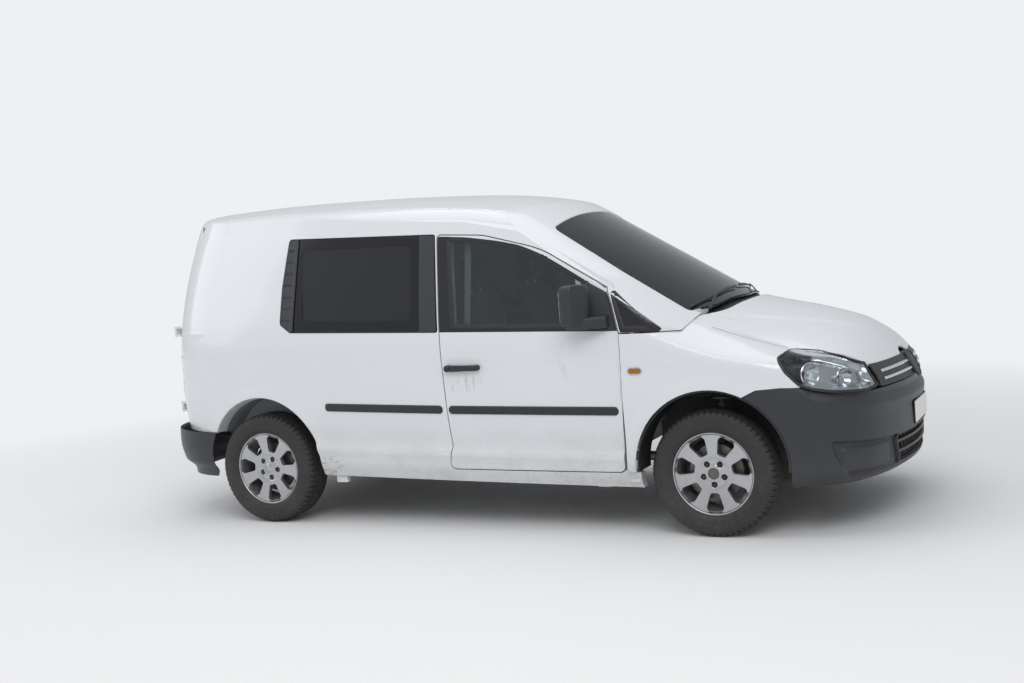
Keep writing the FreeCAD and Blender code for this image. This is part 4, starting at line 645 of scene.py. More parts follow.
def inset(loop, distance, outward):
    """Outline moved towards the panel's own material by a distance."""
    along_it = np.roll(loop, -1, 0) - np.roll(loop, 1, 0)
    along_it /= np.maximum(np.hypot(*along_it.T)[:, None], 1e-9)
    normal = np.stack([along_it[:, 1], -along_it[:, 0]], 1)
    sign = 1.0 if (area_of(loop) > 0) == outward else -1.0
    return loop - normal * sign * distance


def inside_of(points, loops):
    """Even and odd crossings of a ray tell which points lie in the outline and outside its holes."""
    inside = np.zeros(len(points), bool)
    px, py = points[:, 0][:, None], points[:, 1][:, None]
    for loop in loops:
        ax, ay = loop[:, 0], loop[:, 1]
        bx, by = np.roll(ax, -1), np.roll(ay, -1)
        crosses = (ay > py) != (by > py)
        at = ax + (py - ay) * (bx - ax) / np.where(by == ay, 1e-12, by - ay)
        inside ^= (np.sum(crosses & (px < at), 1) % 2).astype(bool)
    return inside


def filled(loops, spacing):
    """Points and triangles of an outline with holes: its own points first, then an even net."""
    edge_points = np.concatenate(loops)
    low, high = edge_points.min(0), edge_points.max(0)
    u, v = np.meshgrid(np.arange(low[0], high[0], spacing), np.arange(low[1], high[1], spacing * ROW_PITCH))
    u = u + (np.arange(len(u)) % 2)[:, None] * spacing / 2
    net = np.stack([u.ravel(), v.ravel()], 1)
    net = net[inside_of(net, loops)]
    near = np.zeros(len(net), bool)
    for block in np.array_split(np.arange(len(net)), max(1, len(net) // BLOCK)):
        gap = np.abs(net[block][:, None] - edge_points[None]).max(2).min(1)
        near[block] = gap < spacing * CLEAR_OF_EDGE
    net = net[~near]
    edges = []
    start = 0
    for loop in loops:
        n = len(loop)
        edges += [(start + i, start + (i + 1) % n) for i in range(n)]
        start += n
    points = np.concatenate([edge_points, net])
    made = delaunay_2d_cdt([Vector(p) for p in points], edges, [], 0, 1e-6, True)
    flat = np.array([tuple(p) for p in made[0]])
    triangles = np.array([f for f in made[2] if len(f) == 3])
    centres = flat[triangles].mean(1)
    triangles = triangles[inside_of(centres, loops)]
    source = np.array([ids[0] if ids else -1 for ids in made[3]])
    place = np.full(len(points), -1)
    place[source[source >= 0]] = np.nonzero(source >= 0)[0]
    return flat, triangles, place[:len(edge_points)]


def shell_mesh(loops, chart, thickness, spacing, rounding=None, relief=None, bevel=1.0):
    """Points and faces of a panel: outer net, rounded rim and inner net.

    rounding(uv) tells how much of the rim's rounding each point of the outline gets, from 0 to 1.
    relief(uv) is the height of the outer net above the plain skin, and bevel widens the rim's rounding.
    """
    height = relief or (lambda uv: 0.0)
    loops = [densified(loop, spacing * RIM_SHARE) for loop in loops]
    share = [np.ones(len(loop)) if rounding is None else rounding(loop) for loop in loops]
    outlines = [[inset(loop, step * bevel * part[:, None], k == 0)
                 for k, (loop, part) in enumerate(zip(loops, share))] for step, _ in EDGE_RINGS]
    flat, triangles, rim = filled(outlines[0], spacing)
    rings = [chart.surface(np.concatenate(outline), depth * bevel - height(np.concatenate(outline)))
             for outline, (_, depth) in zip(outlines[1:], EDGE_RINGS[1:])]
    inner_flat, inner_triangles, inner_rim = filled(outlines[-1], spacing * INNER_SHARE)
    inner = chart.surface(inner_flat, thickness)
    points = np.concatenate([chart.surface(flat, 0.0 - height(flat)), *rings, inner])
    starts = np.cumsum([len(flat)] + [len(r) for r in rings])
    chain = [rim] + [s + np.arange(len(r)) for s, r in zip(starts, rings)] + [starts[-1] + inner_rim]
    faces = [triangles.tolist(), (inner_triangles[:, ::-1] + starts[-1]).tolist()]
    first = 0
    for loop in loops:
        i = first + np.arange(len(loop))
        j = first + (np.arange(len(loop)) + 1) % len(loop)
        for a, b in zip(chain[:-1], chain[1:]):
            faces.append(np.stack([a[i], b[i], b[j], a[j]], 1).tolist())
        first += len(loop)
    return points, [tuple(f) for group in faces for f in group]


def edge_distance(points, loop):
    """Distance of each point from the nearest point of an outline."""
    out = np.empty(len(points))
    for block in np.array_split(np.arange(len(points)), max(1, len(points) // BLOCK)):
        out[block] = np.hypot(*(points[block][:, None] - loop[None]).transpose(2, 0, 1)).min(1)
    return out


def tidy_normals(piece):
    """Merge doubles and turn every face outwards."""
    work = bmesh.new()
    work.from_mesh(piece.data)
    bmesh.ops.remove_doubles(work, verts=work.verts, dist=1e-6)
    bmesh.ops.recalc_face_normals(work, faces=work.faces)
    work.to_mesh(piece.data)
    work.free()
    piece.data.polygons.foreach_set("use_smooth", [True] * len(piece.data.polygons))


def panel(name, loops, chart, thickness, spacing, material, body, replaces=(), **shape):
    """A closed panel on a chart."""
    points, faces = shell_mesh(loops, chart, thickness, spacing, **shape)
    piece = new_piece(name, points, faces, material, body)
    tidy_normals(piece)
    if replaces:
        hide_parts(*replaces)
    return piece


def mirrored(piece, name, body, replaces=()):
    """The same piece on the other side: y turned round, and each face's order with it."""
    mesh = piece.data.copy()
    mesh.name = name
    points = np.zeros(len(mesh.vertices) * 3, np.float32)
    mesh.vertices.foreach_get("co", points)
    points[1::3] *= -1
    mesh.vertices.foreach_set("co", points)
    mesh.flip_normals()
    twin = bpy.data.objects.new(name, mesh)
    scene.collection.objects.link(twin)
    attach(twin, body)
    if replaces:
        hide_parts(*replaces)


def twins(name, loops, chart, thickness, spacing, material, body="chassis", replaces="", **shape):
    """A panel on the left and its mirror image on the right.

    {} in body and replaces takes the side's name. A plain replaces belongs to the left panel alone.
    """
    stands_for = {side: (replaces.format(side),) if replaces and (side == "left" or "{}" in replaces) else ()
                  for side in ("left", "right")}
    piece = panel(f"{name}_left", loops, chart, thickness, spacing, material, body.format("left"),
                  stands_for["left"], **shape)
    mirrored(piece, f"{name}_right", body.format("right"), stands_for["right"])


def raised(height):
    """Relief of the same height everywhere."""
    return lambda uv: np.full(len(uv), height)


# %% [markdown]
# ## Finishes
# Paint, plastic, rubber, glass, cast metal and cloth each get a node tree. What several of them share is a
# node group with plain outputs: road dust that lies low on the body, a cloudy variation, grain and weave.

# %% Node helpers


def put(tree, kind, inputs=None, **settings):
    """A shader node with its settings, whose inputs are constants or other nodes' sockets."""
    node = tree.nodes.new("ShaderNode" + kind)
    for key, value in settings.items():
        setattr(node, key, value)
    for key, value in (inputs or {}).items():
        if isinstance(value, bpy.types.NodeSocket):
            tree.links.new(value, node.inputs[key])
        else:
            node.inputs[key].default_value = value
    return node


def shared_group(name, outputs, build):
    """A node group with named outputs of which build(tree) gives the sockets, in order."""
    tree = bpy.data.node_groups.new(name, "ShaderNodeTree")
    for label, kind in outputs:
        tree.interface.new_socket(label, in_out="OUTPUT", socket_type="NodeSocket" + kind)
    end = tree.nodes.new("NodeGroupOutput")
    for socket, place in zip(build(tree), end.inputs):
        tree.links.new(socket, place)
    return tree


def use(tree, group):
    """A copy of a shared group in a material's tree."""
    node = tree.nodes.new("ShaderNodeGroup")
    node.node_tree = group
    return node.outputs


def times(tree, a, b):
    """Product of two sockets or values."""
    return put(tree, "Math", {0: a, 1: b}, operation="MULTIPLY").outputs[0]


def plus(tree, a, b, **settings):
    """Sum of two sockets or values."""
    return put(tree, "Math", {0: a, 1: b}, operation="ADD", **settings).outputs[0]


def noise(tree, where, scale, detail=3.0, roughness=0.55):
    """Noise between 0 and 1 at a scale of so many lumps to the metre."""
    return put(tree, "TexNoise", {"Vector": where, "Scale": scale, "Detail": detail,
                                  "Roughness": roughness}).outputs["Fac"]


def ramp(tree, value, low, high, to_low=0.0, to_high=1.0):
    """Value stretched from low..high to to_low..to_high and held there."""
    return put(tree, "MapRange", {"Value": value, "From Min": low, "From Max": high,
                                  "To Min": to_low, "To Max": to_high}).outputs[0]


def blended(tree, mask, a, b):
    """Colour between two colours by a mask."""
    node = put(tree, "Mix", data_type="RGBA")
    for key, value in ((0, mask), (6, a), (7, b)):
        if isinstance(value, bpy.types.NodeSocket):
            tree.links.new(value, node.inputs[key])
        else:
            node.inputs[key].default_value = value
    return node.outputs[2]


def place(tree):
    """Object coordinates, which are the van's own."""
    return put(tree, "TexCoord").outputs["Object"]


def bumped(tree, height, strength, distance):
    """Normal of a surface raised by a height."""
    return put(tree, "Bump", {"Height": height, "Strength": strength, "Distance": distance}).outputs[0]


# %% [markdown]
# The shared groups say how dust, scuffs, grain and cloth are spread, in the van's own coordinates.

# %% Shared groups


def road_dust(tree):
    """Dust and splashes: strongest by the sill and round the arches, broken up by two noises."""
    where = place(tree)
    z = put(tree, "SeparateXYZ", {0: where}).outputs["Z"]
    low = ramp(tree, z, 0.62, 0.16)
    cloud = ramp(tree, noise(tree, where, 5.0, 6.0, 0.65), 0.35, 0.72)
    fine = ramp(tree, noise(tree, where, 60.0, 4.0, 0.7), 0.42, 0.75)
    film = times(tree, times(tree, low, cloud), 0.55)
    specks = times(tree, times(tree, low, fine), 0.45)
    return [plus(tree, film, specks, use_clamp=True)]


# scrapes at the rear arch, scratches under the handle, a stain under the mirror, splashes by the front arch
# columns: middle x, middle z, half length, half height, strength, stretch of the noise along x, y and z
SCUFF_MARKS = ((-0.900, 0.335, 0.130, 0.085, 0.75, (16.0, 16.0, 60.0)),
               (0.010, 0.800, 0.120, 0.060, 0.45, (70.0, 8.0, 9.0)),
               (0.640, 0.905, 0.110, 0.120, 0.30, (14.0, 6.0, 5.0)),
               (1.000, 0.420, 0.060, 0.120, 0.55, (20.0, 10.0, 20.0)))


def scuffs(tree):
    """Marks on the right side: ovals in side view, filled with a noise that is stretched along the mark."""
    where = place(tree)
    x, y, z = [put(tree, "SeparateXYZ", {0: where}).outputs[axis] for axis in "XYZ"]
    right = ramp(tree, y, -0.5, -0.6)
    total = None
    for mid_x, mid_z, half_x, half_z, strength, stretch in SCUFF_MARKS:
        off_x = times(tree, plus(tree, x, -mid_x), 1.0 / half_x)
        off_z = times(tree, plus(tree, z, -mid_z), 1.0 / half_z)
        reach = plus(tree, times(tree, off_x, off_x), times(tree, off_z, off_z))
        near = ramp(tree, reach, 1.0, 0.2)
        grainy = put(tree, "VectorMath", {0: where, 1: stretch}, operation="MULTIPLY").outputs[0]
        broken = ramp(tree, noise(tree, grainy, 1.0, 5.0, 0.6), 0.50, 0.68)
        mark = times(tree, times(tree, near, broken), strength)
        total = mark if total is None else plus(tree, total, mark, use_clamp=True)
    return [times(tree, total, right)]


def cloudy(tree):
    """Slow variation that keeps a finish from looking flat."""
    where = place(tree)
    return [plus(tree, times(tree, noise(tree, where, 1.7, 2.0), 0.6),
                 times(tree, noise(tree, where, 23.0, 4.0), 0.4))]


def peel(tree):
    """The faint waviness of sprayed paint."""
    return [bumped(tree, noise(tree, place(tree), 260.0, 1.0), 0.05, 0.0006)]


def grain(tree):
    """Moulded grain of a bumper or a dashboard."""
    cells = put(tree, "TexVoronoi", {"Vector": place(tree), "Scale": 620.0}).outputs["Distance"]
    return [bumped(tree, cells, 0.55, 0.0008)]


def cloth_weave(tree):
    """Two crossed waves of yarn."""
    where = place(tree)
    across = put(tree, "TexWave", {"Vector": where, "Scale": 130.0, "Distortion": 0.6},
                 bands_direction="Y").outputs["Fac"]
    down = put(tree, "TexWave", {"Vector": where, "Scale": 130.0, "Distortion": 0.6},
               bands_direction="Z").outputs["Fac"]
    height = times(tree, across, down)
    return [height, bumped(tree, height, 0.5, 0.0009)]


def cast_skin(tree):
    """Rough skin of cast and painted chassis metal."""
    return [bumped(tree, noise(tree, place(tree), 180.0, 5.0), 0.5, 0.0012)]


DUST = shared_group("road dust", [("Mask", "Float")], road_dust)
SCUFFS = shared_group("scuffs", [("Mask", "Float")], scuffs)
CLOUD = shared_group("cloudy", [("Value", "Float")], cloudy)
PEEL = shared_group("paint waviness", [("Normal", "Vector")], peel)
GRAIN = shared_group("moulded grain", [("Normal", "Vector")], grain)
WEAVE = shared_group("cloth weave", [("Height", "Float"), ("Normal", "Vector")], cloth_weave)
CAST_SKIN = shared_group("cast skin", [("Normal", "Vector")], cast_skin)

# %% [markdown]
# A finish mixes two near colours by the cloudy group, so that no surface has one flat colour. Its numbers are
# the two colours, the roughness and the share of dust that it takes.

# %% Materials
DUST_COLOUR = (0.30, 0.26, 0.21, 1.0)
SCUFF_COLOUR = (0.20, 0.19, 0.175, 1.0)
BAND_COLOUR = (0.62, 0.60, 0.58, 1.0)
PANE_ROUGHNESS, PANE_DUST, PANE_DULL = 0.02, 0.05, 0.05


def finish(name, colour, second, roughness, dusty=1.0, normal=None, **shader):
    """A Principled finish: two colours mixed by the cloudy group, dust over them, and a normal."""
    material = bpy.data.materials.new(name)
    material.use_nodes = True
    tree = material.node_tree
    tree.nodes.clear()
    cloud = use(tree, CLOUD)["Value"]
    dust = times(tree, use(tree, DUST)["Mask"], dusty)
    base = blended(tree, cloud, (*colour, 1.0), (*second, 1.0))
    inputs = {"Base Color": blended(tree, dust, base, DUST_COLOUR),
              "Roughness": plus(tree, ramp(tree, cloud, 0.3, 0.7, roughness * 0.92, roughness * 1.08),
                                times(tree, dust, 0.35), use_clamp=True)}
    inputs.update({key.replace("_", " "): value for key, value in shader.items()})
    if normal:
        inputs["Normal"] = use(tree, normal)["Normal"]
    body = put(tree, "BsdfPrincipled", inputs)
    end = put(tree, "OutputMaterial", {"Surface": body.outputs[0]})
    end.is_active_output = True
    return material


def glass(name, tint, opacity, graze=0.33):
    """Pane seen through: tinted where faced and a mirror where grazed, with a film of dust."""
    material = bpy.data.materials.new(name)
    material.use_nodes = True
    tree = material.node_tree
    tree.nodes.clear()
    film = times(tree, use(tree, CLOUD)["Value"], PANE_DUST)
    dull = put(tree, "BsdfPrincipled", {"Base Color": (*[c * PANE_DULL for c in tint], 1.0),
                                        "Roughness": 0.5})
    clear = put(tree, "BsdfTransparent", {"Color": (*tint, 1.0)})
    shine = put(tree, "BsdfPrincipled", {"Base Color": (0.90, 0.92, 0.94, 1.0), "Metallic": 1.0,
                                         "Roughness": PANE_ROUGHNESS})
    facing = put(tree, "LayerWeight", {"Blend": graze}).outputs["Fresnel"]
    body = put(tree, "MixShader", {0: plus(tree, film, opacity), 1: clear.outputs[0], 2: dull.outputs[0]})
    pane = put(tree, "MixShader", {0: facing, 1: body.outputs[0], 2: shine.outputs[0]})
    put(tree, "OutputMaterial", {"Surface": pane.outputs[0]}).is_active_output = True
    return material


def node_of(material, kind):
    """The material's only node of a kind."""
    return next(n for n in material.node_tree.nodes if n.bl_idname == "ShaderNode" + kind)


def repainted(material, mask, colour):
    """Turn a finish's base colour into another colour where a mask says so."""
    base = node_of(material, "BsdfPrincipled").inputs["Base Color"]
    tree = material.node_tree
    tree.links.new(blended(tree, mask, base.links[0].from_socket, colour), base)


white_paint = finish("white paint", (0.70, 0.715, 0.735), (0.665, 0.68, 0.70), 0.24, 0.75, PEEL,
                     Coat_Weight=0.6, Coat_Roughness=0.06, Specular_IOR_Level=0.5)
repainted(white_paint, use(white_paint.node_tree, SCUFFS)["Mask"], SCUFF_COLOUR)
floor_paint = finish("inner paint", (0.34, 0.35, 0.36), (0.28, 0.29, 0.30), 0.55, 0.5, CAST_SKIN)
bumper_plastic = finish("bumper plastic", (0.027, 0.030, 0.037), (0.021, 0.024, 0.030), 0.38, 0.14, GRAIN)
black_plastic = finish("black plastic", (0.020, 0.021, 0.024), (0.015, 0.016, 0.018), 0.38, 0.3, GRAIN)
grille_plastic = finish("grille plastic", (0.030, 0.031, 0.034), (0.022, 0.023, 0.026), 0.45, 0.3, GRAIN)
frame_black = finish("window frame black", (0.012, 0.012, 0.013), (0.009, 0.009, 0.010), 0.22, 0.1, PEEL,
                     Coat_Weight=0.3)
seal_rubber = finish("seal rubber", (0.016, 0.016, 0.017), (0.011, 0.011, 0.012), 0.6, 0.3, CAST_SKIN)
tyre_rubber = finish("tyre rubber", (0.024, 0.024, 0.026), (0.016, 0.016, 0.017), 0.66, 0.16, CAST_SKIN)
alloy = finish("wheel alloy", (0.52, 0.53, 0.55), (0.46, 0.47, 0.49), 0.30, 0.55, PEEL, Metallic=0.85)
bright_metal = finish("bright metal", (0.78, 0.79, 0.80), (0.70, 0.71, 0.72), 0.16, 0.3, PEEL, Metallic=1.0)
brake_steel = finish("brake steel", (0.20, 0.19, 0.185), (0.13, 0.115, 0.105), 0.42, 0.5, CAST_SKIN,
                     Metallic=0.9)
cast_parts = finish("cast parts", (0.16, 0.155, 0.15), (0.11, 0.105, 0.10), 0.62, 0.8, CAST_SKIN,
                    Metallic=0.5)
chassis_black = finish("chassis black", (0.040, 0.040, 0.042), (0.028, 0.028, 0.030), 0.6, 0.8, CAST_SKIN)
pipe_steel = finish("pipe steel", (0.34, 0.32, 0.29), (0.24, 0.20, 0.17), 0.42, 0.8, CAST_SKIN, Metallic=0.8)
dash_plastic = finish("dashboard plastic", (0.055, 0.057, 0.062), (0.045, 0.047, 0.051), 0.6, 0.0, GRAIN)
light_trim = finish("light trim", (0.42, 0.43, 0.43), (0.36, 0.37, 0.37), 0.6, 0.0, GRAIN)
seat_fabric = finish("seat cloth", (0.062, 0.066, 0.078), (0.045, 0.048, 0.058), 0.9, 0.0, WEAVE,
                     Sheen_Weight=0.3, Sheen_Roughness=0.5)
plate_white = finish("blank plate", (0.82, 0.82, 0.80), (0.78, 0.78, 0.76), 0.32, 0.2, PEEL)
amber_plastic = finish("amber lens", (0.85, 0.30, 0.03), (0.75, 0.24, 0.02), 0.18, 0.1, PEEL,
                       Transmission_Weight=0.2)
lamp_red = finish("red lens", (0.42, 0.012, 0.010), (0.33, 0.008, 0.008), 0.12, 0.3, PEEL,
                  Coat_Weight=0.8, Transmission_Weight=0.15)
CLEAR_BANDS = ((0.840, 0.886), (0.901, 0.949))
BAND_EDGE = 0.002
red_tree = lamp_red.node_tree
lamp_z = put(red_tree, "SeparateXYZ", {0: place(red_tree)}).outputs["Z"]
for low, high in CLEAR_BANDS:
    band = times(red_tree, ramp(red_tree, lamp_z, low - BAND_EDGE, low + BAND_EDGE),
                 ramp(red_tree, lamp_z, high + BAND_EDGE, high - BAND_EDGE))
    repainted(lamp_red, band, BAND_COLOUR)
mirror_glass = finish("mirror glass", (0.86, 0.87, 0.88), (0.82, 0.83, 0.84), 0.03, 0.0, None, Metallic=1.0)
clear_glass = glass("clear glass", (0.80, 0.86, 0.85), 0.10)
dark_glass = glass("dark glass", (0.16, 0.18, 0.20), 0.42)
lens_glass = glass("lamp lens", (0.93, 0.95, 0.96), 0.06, 0.05)

SLOT_FINISH = {
    "white_paint": white_paint, "floor_paint": floor_paint, "bumper_plastic": bumper_plastic,
    "black_plastic": black_plastic, "grille_plastic": grille_plastic, "lamp_clear": lens_glass,
    "lamp_red": lamp_red, "clear_glass": clear_glass, "dark_glass": dark_glass, "alloy": alloy,
    "tyre_rubber": tyre_rubber, "cast_parts": cast_parts, "chassis_black": chassis_black,
    "pipe_steel": pipe_steel, "seat_fabric": seat_fabric, "dash_plastic": dash_plastic}

for node in nodes.values():
    slot_name = node.data.materials[0].name
    node.data.materials.clear()
    node.data.materials.append(SLOT_FINISH[slot_name])

# %% [markdown]
# ## Body panels
# The outlines below are the van's real shut lines, in side view (x, z), from above (x, y) or from the rear
# (y, z); a third number is the radius of that corner. Left panels are made first and mirrored.

# %% Outlines
DOOR_OUTLINE = (
    (-0.123, 0.337, 0.03), (-0.095, 0.46, 0.06), (-0.108, 0.72, 0.2), (-0.124, 1.01, 0.06),
    (-0.163, 1.589, 0.018), (0.11, 1.57, 0.4), (0.452, 1.478, 0.6), (0.815, 1.259, 0.025),
    (0.846, 1.172, 0.09), (0.881, 1.037, 0.06), (0.889, 0.95, 0.06), (0.889, 0.699, 0.1),
    (0.872, 0.325, 0.03),)
DOOR_GLASS_OUTLINE = (
    (-0.06, 1.094, 0.014), (-0.102, 1.566, 0.014), (0.1, 1.547, 0.4), (0.395, 1.473, 0.6),
    (0.7, 1.302, 0.014), (0.642, 1.069, 0.014),)
QUARTER_GLASS_OUTLINE = (
    (0.84, 1.232, 0.012), (0.905, 1.049, 0.01), (1.062, 1.046, 0.012),)
SIDE_GLASS_OUTLINE = (
    (-1.104, 1.103, 0.03), (-1.174, 1.152, 0.02), (-1.17, 1.35, 0.2), (-1.137, 1.628, 0.02),
    (-0.178, 1.594, 0.012), (-0.141, 1.074, 0.012),)
HEADLAMP_OUTLINE = (
    (1.668, 0.884, 0.006), (1.699, 0.909, 0.014), (1.832, 0.893, 0.12), (1.94, 0.863, 0.12),
    (2.032, 0.822, 0.014), (2.1, 0.705, 0.014), (2.057, 0.692, 0.04), (1.93, 0.703, 0.2),
    (1.84, 0.722, 0.12), (1.774, 0.747, 0.06), (1.712, 0.811, 0.06),)
BONNET_OUTLINE = (
    (1.192, 0.662, 0.012), (1.33, 0.44, 0.4), (1.402, 0.0, 1.5), (1.33, -0.44, 0.4),
    (1.192, -0.662, 0.012), (1.45, -0.668, 0.6), (1.72, -0.648, 0.6), (1.905, -0.606, 0.3),
    (2.3, -0.47, 0.0), (2.3, 0.47, 0.0), (1.905, 0.606, 0.3), (1.72, 0.648, 0.6), (1.45, 0.668, 0.6),)
SCREEN_OUTLINE = (
    (0.44, 0.56, 0.04), (0.476, 0.0, 3.0), (0.44, -0.56, 0.04), (0.82, -0.603, 2.0),
    (1.187, -0.622, 0.03), (1.275, -0.42, 0.6), (1.328, 0.0, 0.9), (1.275, 0.42, 0.6),
    (1.187, 0.622, 0.03), (0.82, 0.603, 2.0),)

GAP = 0.005
BONNET_GAP = 0.0085
SHEET = 0.0030
SEAT_GAP = 0.0005            # between a pane and its panel
PLAIN = 0.12
SIDES = (("left", 1.0), ("right", -1.0))
# longest runs of the outlines, and spacings of the nets
COARSE_RUN, FINE_RUN = 0.012, 0.010
SIDE_NET, ROOF_NET, DOOR_NET, WING_NET, BUMPER_NET = 0.018, 0.020, 0.014, 0.013, 0.0095
TRIM_NET, BOX_NET = 0.012, 0.020
BELT_LINE = ((-0.132, 1.0735), (1.109, 1.0370))


def grown(outline, distance):
    """A rounded outline moved outwards on all sides."""
    return inset(densified(rounded(outline), COARSE_RUN), -distance, True)


def clipped(loop, keep):
    """Closed outline cut by a straight line (a, b) of which the points on its left side stay."""
    (ax, ay), (bx, by) = keep
    side = (bx - ax) * (loop[:, 1] - ay) - (by - ay) * (loop[:, 0] - ax)
    out = []
    for i in range(len(loop)):
        j = (i + 1) % len(loop)
        if side[i] >= 0:
            out.append(loop[i])
        if side[i] * side[j] < 0:
            out.append(loop[i] + (loop[j] - loop[i]) * side[i] / (side[i] - side[j]))
    return np.array(out)


def circle_run(centre, radius, start, end, count=60):
    """Points of an arc from one angle to another, in degrees."""
    angle = np.radians(np.linspace(start, end, count))
    return np.stack([centre[0] + radius * np.cos(angle), centre[1] + radius * np.sin(angle)], 1)


def even_run(points, step=COARSE_RUN):
    """Open run of points with no stretch longer than step."""
    points = np.asarray(points, float)
    out = [points[:1]]
    for a, b in zip(points[:-1], points[1:]):
        n = max(1, int(math.ceil(np.hypot(*(b - a)) / step)))
        out.append(a + (b - a) * (np.arange(1, n + 1) / n)[:, None])
    return np.concatenate(out)


# %% [markdown]
# The fixed side is one pressing with a door opening, two window openings and a wheel arch.

# %% Sides
ARCH_CUT = 0.390
ROOF_SEAM = 0.640
PILLAR_X = 0.699
REAR_TOP = 1.750
SILL_REAR, SILL_FRONT = 0.290, 0.262
WING_TOP = 1.0335            # height at which the side starts above the wing
SEAM_START = 0.004
PILLAR_END = float(np.interp(PILLAR_X, (0.440, 0.820), (0.560, 0.603)))

screen_edge = grown(SCREEN_OUTLINE, SEAT_GAP)
door_opening = grown(DOOR_OUTLINE, GAP)


def rear_door_edge(z):
    """Half width of the rear doors at a height, with their gap."""
    return np.interp(z, (0.55, 1.09, 1.744), (0.690, 0.690, 0.612)) + GAP


def seam_run(corner_x):
    """Stations along the roof seam, from the rear corner to the screen pillar."""
    return even_run([(corner_x + SEAM_START, 0.0), (PILLAR_X, 0.0)])[:, 0]


def side_loop():
    """Outline of the fixed side on its chart, from the rear bumper round by the roof, screen and sill."""
    up = even_run([(rear_door_edge(z), z) for z in np.linspace(0.552, REAR_TOP, 40)]
                  + [(ROOF_SEAM, REAR_TOP)])
    rear = rear_face.surface(up)
    seam_x = seam_run(rear[-1, 0])
    seam = seen_from_above(np.stack([seam_x, np.full_like(seam_x, ROOF_SEAM)], 1), floor=1.2)
    pillar = screen_edge[(screen_edge[:, 1] > 0.5) & (screen_edge[:, 0] > PILLAR_X)]
    pillar = pillar[pillar[:, 0].argsort()]
    screen = seen_from_above(even_run([(PILLAR_X, PILLAR_END), *pillar[pillar[:, 0] < 1.180]]), floor=0.9)
    foot = even_run([(1.236, 1.098), (1.196, WING_TOP), (0.893, WING_TOP)])
    opening = door_opening[::-1]
    by_wing = (opening[:, 0] > 0.86) & (opening[:, 1] < WING_TOP)
    turn = np.nonzero(by_wing & ~np.roll(by_wing, -1))[0][0] + 1
    opening = np.roll(opening, -turn, 0)[:int((~by_wing).sum())]
    under = even_run([(0.889, 0.3255), (0.958, 0.3255), (0.952, SILL_FRONT), (-0.10, 0.273),
                      (-0.966, SILL_REAR)])
    arch = circle_run(REAR_ARCH, ARCH_CUT, -8.0, 152.0)
    tail = even_run([(arch[-1, 0], 0.5295), (-1.98, 0.545)])
    low = seen_from_side(np.concatenate([foot, opening, under, arch, tail]))
    return body_side.flat(np.concatenate([rear, seam, screen, low]))


def plain_at_seam(uv):
    """Rim rounding of the side: nearly none along the roof seam, which can't be seen on the van."""
    low = along(BODY_TURN, np.clip(uv[:, 0], REAR_TURN, FRONT_TURN))
    return np.where((uv[:, 1] > low + 0.05) & (uv[:, 0] < PILLAR_X), PLAIN, 1.0)


window_holes = [grown(SIDE_GLASS_OUTLINE, SEAT_GAP), grown(QUARTER_GLASS_OUTLINE, SEAT_GAP)]
twins("side_skin", [side_loop(), *window_holes], body_side, SHEET, SIDE_NET, white_paint,
      rounding=plain_at_seam)

# %% [markdown]
# The roof lies between the two sides and ends at the screen.


# %% Roof
def roof_loop():
    """Outline of the roof on its chart, from the rear header round by the seam and the screen."""
    rear = rear_face.surface(even_run([(ROOF_SEAM, REAR_TOP), (-ROOF_SEAM, REAR_TOP)]))
    seam_x = seam_run(rear[0, 0])
    right = np.stack([seam_x, np.full_like(seam_x, -ROOF_SEAM)], 1)
    front = screen_edge[screen_edge[:, 0] < PILLAR_X]
    front = front[np.argsort(front[:, 1])]
    left = right[::-1] * (1, -1)
    top = seen_from_above(np.concatenate([right, [(PILLAR_X, -PILLAR_END)], front,
                                          [(PILLAR_X, PILLAR_END)], left]), floor=1.2)
    return roof_top.flat(np.concatenate([rear, top]))


ROOF_THICKNESS, SEAM_BAND = 0.034, 0.585
panel("roof_skin", [roof_loop()], roof_top, ROOF_THICKNESS, ROOF_NET, white_paint, "chassis", ("roof",),
      rounding=lambda uv: np.where(np.abs(uv[:, 1]) > SEAM_BAND, PLAIN, 1.0))

# %% [markdown]
# A front door is painted below its belt line and has a black window frame above it.

# %% Front doors
door_edge = densified(rounded(DOOR_OUTLINE), COARSE_RUN)
lower_door = body_side.flat(seen_from_side(clipped(door_edge, BELT_LINE[::-1])))
upper_door = body_side.flat(seen_from_side(clipped(door_edge, BELT_LINE)))
twins("door_skin", [lower_door], body_side, SHEET, DOOR_NET, white_paint, "front_door_{}")
twins("door_frame", [upper_door, grown(DOOR_GLASS_OUTLINE, SEAT_GAP)], body_side, SHEET, DOOR_NET,
      frame_black, "front_door_{}")

# %% [markdown]
# The two rear doors meet off the middle, so the left one is wider. Each has one pane.

# %% Rear doors
REAR_SPLIT = -0.170
REAR_LOW, REAR_HIGH, REAR_BELT = 0.556, 1.744, 1.090
REAR_GLASS_LOW, REAR_GLASS_HIGH = 1.130, 1.655
REAR_GLASS_REACH = (0.584, 0.531)
HALF_GAP = 0.0025
SPLIT_FRAME = 0.069


def rear_door_outline(sign):
    """Outline of a rear door from its free edge to its hinge edge, seen from behind."""
    free = REAR_SPLIT + sign * HALF_GAP
    return rounded([(free, REAR_LOW, 0.008), (sign * 0.690, REAR_LOW, 0.040),
                    (sign * 0.690, REAR_BELT, 0.300),
                    (sign * 0.612, REAR_HIGH, 0.070), (free, REAR_HIGH, 0.008)])


def rear_glass_outline(sign):
    """Outline of a rear door's pane."""
    free = REAR_SPLIT + sign * (HALF_GAP + SPLIT_FRAME)
    low, high = REAR_GLASS_REACH
    return rounded([(free, REAR_GLASS_LOW, 0.030), (sign * low, REAR_GLASS_LOW, 0.045),
                    (sign * high, REAR_GLASS_HIGH, 0.045), (free, REAR_GLASS_HIGH, 0.030)])


